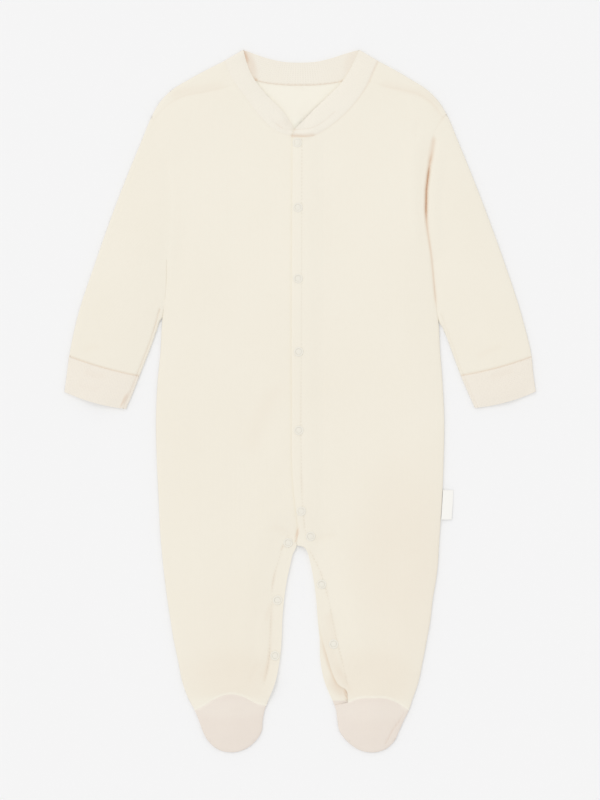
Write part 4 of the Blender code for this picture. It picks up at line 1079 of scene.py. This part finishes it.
def shoulder_wrap(fold, low, high, fineness):
    """Rows round the shoulder fold, from the lower layer to the forward seam, and which are low."""
    near = fine_places(NEAR_FOLD, fineness)[1:]
    near_low = [moved_to(fold, low, away) for away in near[::-1]]
    near_high = [moved_to(fold, high, away) for away in near]
    shares = np.linspace(0.0, 1.0, int(14 * fineness))[1:]
    far_high = [near_high[-1] + (high - near_high[-1]) * share for share in shares]
    rows = near_low + [fold] + near_high + far_high
    return np.array(rows), np.arange(len(rows)) <= len(near_low)


def back_sheet(form, side):
    """Half the back: leg, seat, yoke, and the strip that wraps over the shoulder to the front."""
    seam = getattr(SIDE_SEAM, side)
    ankle, crotch = seam[ANKLE], seam[CROTCH_LEVEL]
    neck = evenly(getattr(BACK_NECKLINE, side), 60)
    armhole, outer_arm = armhole_line(side), form.arm_edge(side, ARM_OUTER)
    yoke_start, tip = at_height(armhole, BACK_YOKE_START_Y), crossing(armhole, outer_arm)
    fold = between(outer_arm, neck[-1], tip)
    stretches = (
        (getattr(INSEAM, side), ankle, crotch, 40, None, None),
        (np.array([CROTCH, (0.0, -60.0), (0.0, 60.0), neck[0]]), crotch, yoke_start, 80, None, None),
        (neck, yoke_start, tip, 24, None, fold),
    )
    fine = form.fineness
    lower = plans(form.outer_boundary(side), stretches, even_places(NEAR_MIDDLE, fine),
                  fine_places(NEAR_EDGE, fine), 36, fine)
    share = lengths_along(lower[-1])
    share /= share[-1]
    wrap, low_rows = shoulder_wrap(smooth(fold, share), lower[-2], smooth(shoulder_seam(side), share), fine)
    flat = np.concatenate([lower[:-1], wrap[low_rows]])
    fold_row = len(flat) - 1
    under, under_normals = layer(flat, form.lower(form.jersey))
    over, over_normals = layer(wrap[~low_rows], form.upper)
    points = np.concatenate([under, over])
    normals = np.concatenate([-under_normals, over_normals])
    points[fold_row, :, 2] = form.seam_height
    normals[fold_row] = level_normals(points[fold_row], BODY_MIDDLE)
    stand_side_seam(points, normals, form.seam_height - SEAM_OFFSET)
    return flipped(points, normals, side)


# ---------------------------------------------------------------- sleeves and cuffs

def cuff_seam_line(side):
    """Seam of the cuff, a shallow arc across the arm."""
    return bowed(*getattr(CUFF_SEAM, side), CUFF_SEAM_BOW * SIGN[side])


def cuff_mouth_line(side):
    """Open end of the cuff, a shallow arc across the arm."""
    return bowed(*getattr(CUFF_MOUTH, side), CUFF_MOUTH_BOW * SIGN[side])


def arm_plan(form, outer, inner, rows, first=None, last=None):
    """Grid between the outer line of the arm and a line on its inner side."""
    rows = int(rows * form.fineness)
    near = fine_places(NEAR_EDGE, form.fineness)
    return plan(evenly(outer, rows), evenly(inner, rows), near, near, int(44 * form.fineness), first, last)


def tube_sheet(form, side, grid, under_height):
    """A flattened tube over a grid, its two long edges standing on the outline."""
    upper, upper_normals = layer(grid, form.upper)
    lower, lower_normals = layer(grid[:, -2:0:-1], under_height)
    for edge in (0, -1):
        upper[:, edge, 2] = form.seam_height
        upper_normals[:, edge] = level_normals(upper[:, edge], arm_middle(side))
    points = np.concatenate([upper, lower], axis=1)
    return points, np.concatenate([upper_normals, -lower_normals], axis=1)


def head_sheet(form, side, grid):
    """The sleeve head, two layers open along the armhole: lower armhole, outer fold, upper armhole."""
    upper, upper_normals = layer(grid, form.upper)
    lower, lower_normals = layer(grid[:, :0:-1], form.lower(form.jersey))
    upper[:, 0, 2] = form.seam_height
    upper_normals[:, 0] = level_normals(upper[:, 0], arm_middle(side))
    upper[-1, -1, 2] = lower[-1, 0, 2] = form.seam_height
    points = np.concatenate([lower, upper], axis=1)
    return points, np.concatenate([-lower_normals, upper_normals], axis=1)


def sleeve_sheets(form, side):
    """Head and arm of a sleeve, which meet in a row from the underarm square across the arm."""
    outer, inner = form.arm_edge(side, ARM_OUTER), form.arm_edge(side, ARM_INNER)
    armhole, seam = armhole_line(side), cuff_seam_line(side)
    tip = crossing(armhole, outer)
    elbow = outer[nearest(outer, inner[0])]
    up = between(armhole, inner[0], tip)[::-1]
    up[-1] = inner[0]
    head = arm_plan(form, between(outer, tip, elbow)[1:], up[1:], 70)
    arm = arm_plan(form, between(outer, elbow, seam[0]), between(inner, inner[0], seam[-1]), 74, last=seam)
    head[-1] = arm[0]
    return [head_sheet(form, side, head), tube_sheet(form, side, arm, form.lower(form.jersey))]


def cuff_sheet(form, side):
    """A cuff, the flattened tube between its seam and its mouth."""
    seam, mouth = cuff_seam_line(side), cuff_mouth_line(side)
    outer = between(form.arm_edge(side, ARM_OUTER), seam[0], mouth[0])
    inner = between(form.arm_edge(side, ARM_INNER), seam[-1], mouth[-1])
    return tube_sheet(form, side, arm_plan(form, outer, inner, 28, seam, mouth), form.lower(form.rib))


# ---------------------------------------------------------------- neckband

BAND_OVERLAP = 0.4
FOLD_STATIONS = 2


def band_stations(rows, count):
    """Seam and free edge of the neckband at this many stations, evenly through a table's rows."""
    rows = np.array(rows, float)
    read = read_curve(np.arange(len(rows)), rows, np.linspace(0.0, len(rows) - 1.0, count))
    seam, free = read[:, :2], read[:, 2:]
    outward = (seam - free) / np.linalg.norm(seam - free, axis=1)[:, None]
    return np.stack([seam + outward * BAND_OVERLAP, free], axis=1)


def neckband_sheet(form):
    """The whole band: up one front end, round the fold, across the back and down the other end."""
    fine = form.fineness
    right = band_stations(BAND_FRONT.right, int(70 * fine))
    back = band_stations(BAND_BACK, int(60 * fine))
    left = band_stations(BAND_FRONT.left, int(70 * fine))[::-1]
    folds = [form.neck_fold(side) for side in SIDE_NAMES]
    clear = FOLD_STATIONS

    def beside(fold, station):
        return [moved_to(fold, station, away) for away in fine_places(NEAR_FOLD, fine)[1:]]

    under = beside(folds[0], back[clear]) + list(back[clear:-clear]) + beside(folds[1], back[-clear - 1])[::-1]
    stretches = (
        (list(right[:-clear]) + beside(folds[0], right[-clear - 1])[::-1], form.upper, 1.0),
        ([folds[0]], None, 1.0),
        (under, form.lower(form.rib), -1.0),
        ([folds[1]], None, 1.0),
        (beside(folds[1], left[clear]) + list(left[clear:]), form.front("left"), 1.0),
    )
    share = np.linspace(0.0, 1.0, int(18 * fine))[:, None]
    points, normals = [], []
    for ends, height, facing in stretches:
        ends = np.array(ends)
        grid = ends[:, :1] + (ends[:, 1:] - ends[:, :1]) * share
        if height is None:
            made = raised(grid, np.full(grid.shape[:2], form.seam_height))
            normal = level_normals(made[0], BODY_MIDDLE)[None]
        else:
            made, normal = layer(grid, height)
        points.append(made)
        normals.append(normal * facing)
    return np.concatenate(points), np.concatenate(normals)


# ---------------------------------------------------------------- feet

def foot_plan(form, side, first_inner, first_outer, first):
    """Plan of a foot, in rows from the ankle to the toe, with its last row round the toe."""
    around = form.body_edge(side)
    toe_inner, toe_outer = getattr(TOE, side)
    edges = []
    for line in (between(around, first_inner, toe_inner), between(around, first_outer, toe_outer)):
        length = lengths_along(line)[-1]
        near = length - fine_places(NEAR_TOE, form.fineness)[::-1]
        at = np.concatenate([np.linspace(0.0, near[0], int(24 * form.fineness))[:-1], near])
        edges.append(smooth(line, at / length))
    near = fine_places(NEAR_EDGE, form.fineness)
    toe = between(around, toe_inner, toe_outer)
    return plan(*edges, near, near, int(36 * form.fineness), first, toe, FOOT_FADES)


def foot_sheet(side, grid, height, edge_height, facing=1.0):
    """Sheet of a foot with its two sides and its toe standing on edge at a height."""
    points, normals = layer(grid, height)
    normals *= facing
    level = np.zeros(normals.shape)
    for line in ((slice(None), 0), (slice(None), -1), (-1, slice(None))):
        points[line][..., 2] = edge_height
        level[line] += level_normals(points[line], foot_middle(side))
    standing = level.any(axis=2)
    normals[standing] = level[standing] / np.linalg.norm(level[standing], axis=1)[:, None]
    return flipped(points, normals, side)


def foot_top_sheet(form, side):
    """Upper layer of a foot, from the foot seam to the toe."""
    seam = np.array(getattr(FOOT_SEAM, side))
    grid = foot_plan(form, side, seam[0], seam[-1], seam)
    return foot_sheet(side, grid, form.upper, form.seam_height + SEAM_OFFSET)


def sole_sheet(form, side):
    """Lower layer of a foot, from a level row at the ankle to the toe."""
    grid = foot_plan(form, side, getattr(INSEAM, side)[ANKLE], getattr(SIDE_SEAM, side)[ANKLE], None)
    grid[0, :, 1] = LEGS[ANKLE].y
    return foot_sheet(side, grid, form.lower(form.jersey), form.seam_height - SEAM_OFFSET, -1.0)


# ---------------------------------------------------------------- snaps, stitches and label

# Profile of a snap over the cloth, in millimetres: its foot, the rounded ring and the low dome.
SNAP_SIDES = 40
SNAP_RADIUS = 3.9
SNAP_FOOT = ((0.0, -0.25), (4.05, -0.25))
RING_RADIUS, RING_HALF_WIDTH, RING_BASE, RING_RISE = 3.35, 0.85, 0.15, 0.6
DOME_RADIUS, DOME_BASE, DOME_RISE = 2.5, 0.30, 0.2
SUNK_IN = 0.1


def snap_piece(form, row):
    """A ring snap turned from a profile and laid square on the cloth: a rounded rim round a low dome."""
    turn = np.linspace(0.0, 2 * np.pi, SNAP_SIDES, endpoint=False)
    around = np.stack([np.cos(turn), np.sin(turn)], axis=1)
    centre = np.array([row.x, row.y])
    rim = centre + around * SNAP_RADIUS
    heights = form.front(row.front)(rim[:, 0], rim[:, 1])
    slope = 2.0 * (around * heights[:, None]).mean(axis=0) / SNAP_RADIUS
    level = (heights - (rim - centre) @ slope).mean() + form.jersey / 2 - SUNK_IN
    ring = [(RING_RADIUS + RING_HALF_WIDTH * np.cos(bend), RING_BASE + RING_RISE * np.sin(bend))
            for bend in np.linspace(0.0, np.pi, 13)]
    dome = [(radius, DOME_BASE + DOME_RISE * np.sqrt(1.0 - (radius / DOME_RADIUS) ** 2))
            for radius in (2.4, 1.8, 1.1, 0.5, 0.0)]
    profile = [*SNAP_FOOT, *ring, *dome]
    points = np.concatenate([np.column_stack([around * radius + centre, around * radius @ slope + level + up])
                             for radius, up in profile])
    faces = grid_faces(len(profile), SNAP_SIDES, around=True)
    return make_piece(row.name + "_ring", points, faces, "enamel")


# Pitch and half the length of a stitch; radius of its thread, its lift over the cloth and its dip at both ends.
STITCH_PITCH, STITCH_HALF = 3.0, 1.05
THREAD_RADIUS, THREAD_LIFT, THREAD_DIP = 0.24, 0.12, 0.30
THREAD_SIDES = 6


def stitch_row(form, row):
    """Thread stitches along a line, each a short capsule that dips at both ends.

    Radius and dip follow the fourth power of the distance from the middle of the stitch.
    """
    height = form.lower(form.rib) if row.front == "inside" else form.front(row.front)
    length = lengths_along(evenly(row.line, 60))[-1]
    count = int(length / STITCH_PITCH)
    middle = (np.arange(count) + 0.5) / count
    along = np.linspace(-1.0, 1.0, 6)
    places = smooth(row.line, middle[:, None] + STITCH_HALF / length * along)
    step = np.gradient(places, axis=1)
    step /= np.linalg.norm(step, axis=2)[..., None]
    across = np.stack([-step[..., 1], step[..., 0]], axis=2)
    places = places + across * (row.slant * along)[:, None]
    turn = np.linspace(0.0, 2 * np.pi, THREAD_SIDES, endpoint=False)
    radius = THREAD_RADIUS * np.sqrt(np.maximum(1.0 - (along * 0.97) ** 4, 0.05))
    ground = height(places[..., 0], places[..., 1]) + form.jersey / 2
    lift = THREAD_LIFT - THREAD_DIP * along ** 4
    plan_points = places[:, :, None] + across[:, :, None] * (np.cos(turn) * radius[:, None])[None, ..., None]
    up = ground[..., None] + lift[:, None] + np.sin(turn) * radius[:, None]
    points = np.concatenate([plan_points, up[..., None]], axis=3)
    size = len(along) * THREAD_SIDES
    caps = np.array([[0, 1, 2, 3], [0, 3, 4, 5]])
    one = np.concatenate([grid_faces(len(along), THREAD_SIDES, around=True), caps[:, ::-1],
                          caps + size - THREAD_SIDES])
    faces = (one[None] + np.arange(count)[:, None, None] * size).reshape(-1, 4)
    return make_piece(row.name, points.reshape(-1, 3), faces, "thread")


# Where the label is sewn in, how far it stands out, its thickness, droop and curl.
LABEL_ENDS = ((121.0, -76.0), (121.0, -101.5))
LABEL_LENGTH = 9.0
LABEL_THICKNESS = 0.9
LABEL_DROOP, LABEL_CURL, LABEL_BEND = 0.6, 0.15, 2.2


def label_sheet(form):
    """Folded ribbon out of the side seam: it droops as a parabola and curls as a sine along the seam."""
    seam = evenly(between(form.body_edge("left"), *LABEL_ENDS), 20) + (LABEL_THICKNESS, 0.0)
    share = np.linspace(0.0, 1.0, 14)
    grid = seam[:, None] + share[:, None] * (LABEL_LENGTH, 0.0)
    up = np.linspace(-1.0, 1.0, 20)[:, None]
    height = form.seam_height - LABEL_DROOP * share ** 2 + LABEL_CURL * np.sin(LABEL_BEND * up) * share
    points = raised(grid, np.broadcast_to(height, grid.shape[:2]))
    return points, np.zeros(points.shape) + (0.0, 0.0, 1.0)


# ---------------------------------------------------------------- operators

def length(name, description, default):
    """A length in the sidebar, in metres."""
    return FloatProperty(name=name, description=description, default=default, unit="LENGTH")


def colour(name, description, default):
    """A colour in the sidebar."""
    return FloatVectorProperty(name=name, description=description, default=default, subtype="COLOR")


def number(name, description, default, **limits):
    """A plain number in the sidebar."""
    return FloatProperty(name=name, description=description, default=default, **limits)


class SuitForm(PropertyGroup):
    """Sizes of the cloth and of the way it lies."""

    jersey: length("Jersey", "Thickness of the jersey", 0.0012)
    rib: length("Rib", "Thickness of the doubled rib", 0.0015)
    seam_height: length("Seam height", "Middle of the side seams above the surface", 0.0013)
    nose: length("Edge height", "Height of the rounded edge above the seam", 0.0008)
    dome: length("Dome", "Further rise of the upper layer", 0.0027)
    placket_lift: length("Placket lift", "Rise of the lapping front", 0.0018)
    unevenness: length("Unevenness", "Height of the slow waves in the cloth", 0.00025)
    fineness: number("Fineness", "Density of the grids", 1.0, min=0.3, max=2.0)


class SuitLook(PropertyGroup):
    """Colours and surface of the materials."""

    jersey_colour: colour("Jersey", "Body and sleeves", (0.872, 0.832, 0.738))
    cuff_colour: colour("Cuffs", "Rib of the cuffs", (0.868, 0.818, 0.738))
    neck_colour: colour("Neckband", "Rib of the neckband", (0.872, 0.833, 0.752))
    # Painted shade: the warm darker colour mixed into the cloth in folds, along seams and in hollows.
    painted_shade_colour: colour("Creases", "Light that the cloth warms in deep folds", (0.62, 0.36, 0.20))
    # The paler reverse of the jersey, seen inside the back, where it also lifts the cloth as painted light; elsewhere
    # it is painted light on a sleeve ridge, along the foot seams and over the shoulders and chest.
    inside_and_painted_light_colour: colour("Inside", "Reverse of the jersey", (0.95, 0.93, 0.84))
    # The feet are darker and warmer than the body.
    foot_colour: colour("Feet", "Jersey of the feet", (0.82, 0.75, 0.688))
    snap_colour: colour("Snaps", "Enamel of the snaps", (0.84, 0.81, 0.73))
    thread_colour: colour("Thread", "Topstitching", (0.80, 0.75, 0.65))
    label_colour: colour("Label", "Side label", (0.92, 0.91, 0.88))
    knit_strength: number("Knit", "Strength of the knitted relief", 0.35)
    sheen: number("Sheen", "Soft sheen of the cotton", 0.15)


class SuitStage(PropertyGroup):
    """Camera and lights."""

    width: length("Width", "Width of the view on the surface", 0.5128)
    distance: length("Distance", "Height of the camera", 3.0)
    key: number("Key light", "Strength of the large soft light", 0.45)
    fill: number("Fill", "Strength of the light from all round", 0.897)
    floor_colour: colour("Surface", "Colour of the surface", (0.90, 0.904, 0.915))


class SUIT_OT_back(Operator):
    """Back with both legs, wrapping over the shoulders"""
    bl_idname = "suit.back"
    bl_label = "Back"

    def execute(self, context):
        form = Form(context.scene.suit_form)
        sheets = [back_sheet(form, side) for side in SIDE_NAMES]
        piece = wall_piece("back_panel", sheets, form.jersey, "body_jersey", form)
        dress(piece, "back")
        return {"FINISHED"}


class SUIT_OT_fronts(Operator):
    """Two fronts with their legs; the wearer's left one laps on top"""
    bl_idname = "suit.fronts"
    bl_label = "Fronts"

    def execute(self, context):
        form = Form(context.scene.suit_form)
        for side in SIDE_NAMES:
            piece = wall_piece("front_panel_" + side, [front_sheet(form, side)], form.jersey, "body_jersey", form)
            dress(piece, "front_" + side)
        return {"FINISHED"}


class SUIT_OT_sleeves(Operator):
    """Sleeves and their ribbed cuffs, flattened tubes"""
    bl_idname = "suit.sleeves"
    bl_label = "Sleeves and cuffs"

    def execute(self, context):
        form = Form(context.scene.suit_form)
        for side in SIDE_NAMES:
            lean = ARM_LEAN * SIGN[side]
            sleeve = wall_piece("sleeve_tube_" + side, sleeve_sheets(form, side), form.jersey, "body_jersey",
                                form, (1,), lean)
            dress(sleeve, "sleeve_" + side)
            cuff = wall_piece("cuff_tube_" + side, [cuff_sheet(form, side)], form.rib, "cuff_rib", form, (0,), lean)
            dress(cuff, "cuff_" + side)
        return {"FINISHED"}


class SUIT_OT_neckband(Operator):
    """Ribbed neckband, one piece round the neck"""
    bl_idname = "suit.neckband"
    bl_label = "Neckband"

    def execute(self, context):
        form = Form(context.scene.suit_form)
        piece = wall_piece("neckband_rib", [neckband_sheet(form)], form.rib, "neck_rib", form, grain=None)
        dress(piece, "neckband")
        return {"FINISHED"}


class SUIT_OT_feet(Operator):
    """Foot tops and soles"""
    bl_idname = "suit.feet"
    bl_label = "Feet"

    def execute(self, context):
        form = Form(context.scene.suit_form)
        for side in SIDE_NAMES:
            top = wall_piece("foot_panel_" + side, [foot_top_sheet(form, side)], form.jersey, "foot_jersey", form)
            dress(top, "foot_top_" + side)
            sole = wall_piece("sole_panel_" + side, [sole_sheet(form, side)], form.jersey, "foot_jersey", form)
            dress(sole, "sole_" + side)
        return {"FINISHED"}


class SUIT_OT_snaps(Operator):
    """Ring snaps down the front and along the inner legs"""
    bl_idname = "suit.snaps"
    bl_label = "Snaps"

    def execute(self, context):
        form = Form(context.scene.suit_form)
        for row in SNAPS:
            dress(snap_piece(form, row), row.name)
        return {"FINISHED"}


class SUIT_OT_stitching(Operator):
    """Topstitching along the placket and the inner legs"""
    bl_idname = "suit.stitching"
    bl_label = "Topstitching"

    def execute(self, context):
        form = Form(context.scene.suit_form)
        for row in TOPSTITCHING:
            dress(stitch_row(form, row), None)
        return {"FINISHED"}


class SUIT_OT_label(Operator):
    """Bare folded label in the side seam"""
    bl_idname = "suit.label"
    bl_label = "Side label"

    def execute(self, context):
        form = Form(context.scene.suit_form)
        piece = wall_piece("label_ribbon", [label_sheet(form)], LABEL_THICKNESS, "ribbon", form)
        dress(piece, "side_label")
        return {"FINISHED"}


VIEW_SHAPE = 800.0 / 600.0
VIEW_CENTRE_Y = 0.00085
SENSOR_WIDTH = 36.0
KEY_PLACE = (-0.9, 0.85, 1.9)
KEY_ANGLE = 40.0
KEY_COLOUR = (1.0, 0.99, 0.975)
ROOM_COLOUR = (1.0, 0.995, 0.985, 1.0)


class SUIT_OT_stage(Operator):
    """Pale surface, soft light and a camera straight above"""
    bl_idname = "suit.stage"
    bl_label = "Stage"

    def execute(self, context):
        scene = context.scene
        stage = scene.suit_stage
        bpy.ops.mesh.primitive_plane_add(size=12.0, location=(0.0, 0.0, 0.0))
        floor = context.active_object
        floor.name = "surface"
        floor.data.materials.append(Finish("surface", tuple(stage.floor_colour), 0.95).material)
        camera = bpy.data.objects.new("camera", bpy.data.cameras.new("camera"))
        camera.location = (0.0, VIEW_CENTRE_Y, stage.distance)
        camera.data.sensor_width = SENSOR_WIDTH
        camera.data.lens = SENSOR_WIDTH * stage.distance / (stage.width * VIEW_SHAPE)
        camera.data.clip_end = 50.0
        scene.collection.objects.link(camera)
        scene.camera = camera
        lamp = bpy.data.lights.new("key", "SUN")
        lamp.energy = stage.key
        lamp.angle = np.radians(KEY_ANGLE)
        lamp.color = KEY_COLOUR
        key = bpy.data.objects.new("key", lamp)
        key.location = KEY_PLACE
        key.rotation_mode = "QUATERNION"
        key.rotation_quaternion = Vector(KEY_PLACE).to_track_quat("Z", "Y")
        scene.collection.objects.link(key)
        scene.world = bpy.data.worlds.new("room")
        scene.world.use_nodes = True
        background = scene.world.node_tree.nodes["Background"].inputs
        background["Color"].default_value = ROOM_COLOUR
        background["Strength"].default_value = stage.fill
        scene.view_settings.view_transform = "Standard"
        return {"FINISHED"}


class SUIT_PT_panel(Panel):
    """Lists the suit's sizes, colours and operators"""
    bl_idname = "SUIT_PT_panel"
    bl_label = "Sleepsuit"
    bl_space_type = "VIEW_3D"
    bl_region_type = "UI"
    bl_category = "Sleepsuit"

    def draw(self, context):
        for name, group in GROUPS.items():
            box = self.layout.box()
            for key in group.__annotations__:
                box.prop(getattr(context.scene, name), key)
        for operator in OPERATORS:
            self.layout.operator(operator.bl_idname)


OPERATORS = (SUIT_OT_back, SUIT_OT_fronts, SUIT_OT_sleeves, SUIT_OT_neckband, SUIT_OT_feet, SUIT_OT_snaps,
             SUIT_OT_stitching, SUIT_OT_label, SUIT_OT_stage)
GROUPS = {"suit_form": SuitForm, "suit_look": SuitLook, "suit_stage": SuitStage}
CLASSES = (*GROUPS.values(), *OPERATORS, SUIT_PT_panel)


def register():
    for made in CLASSES:
        bpy.utils.register_class(made)
    for name, group in GROUPS.items():
        setattr(bpy.types.Scene, name, PointerProperty(type=group))


def unregister():
    for name in GROUPS:
        delattr(bpy.types.Scene, name)
    for made in reversed(CLASSES):
        bpy.utils.unregister_class(made)


def main():
    """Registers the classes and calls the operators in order."""
    register()
    for operator in OPERATORS:
        group, name = operator.bl_idname.split(".")
        getattr(getattr(bpy.ops, group), name)()


if __name__ == "__main__":
    main()
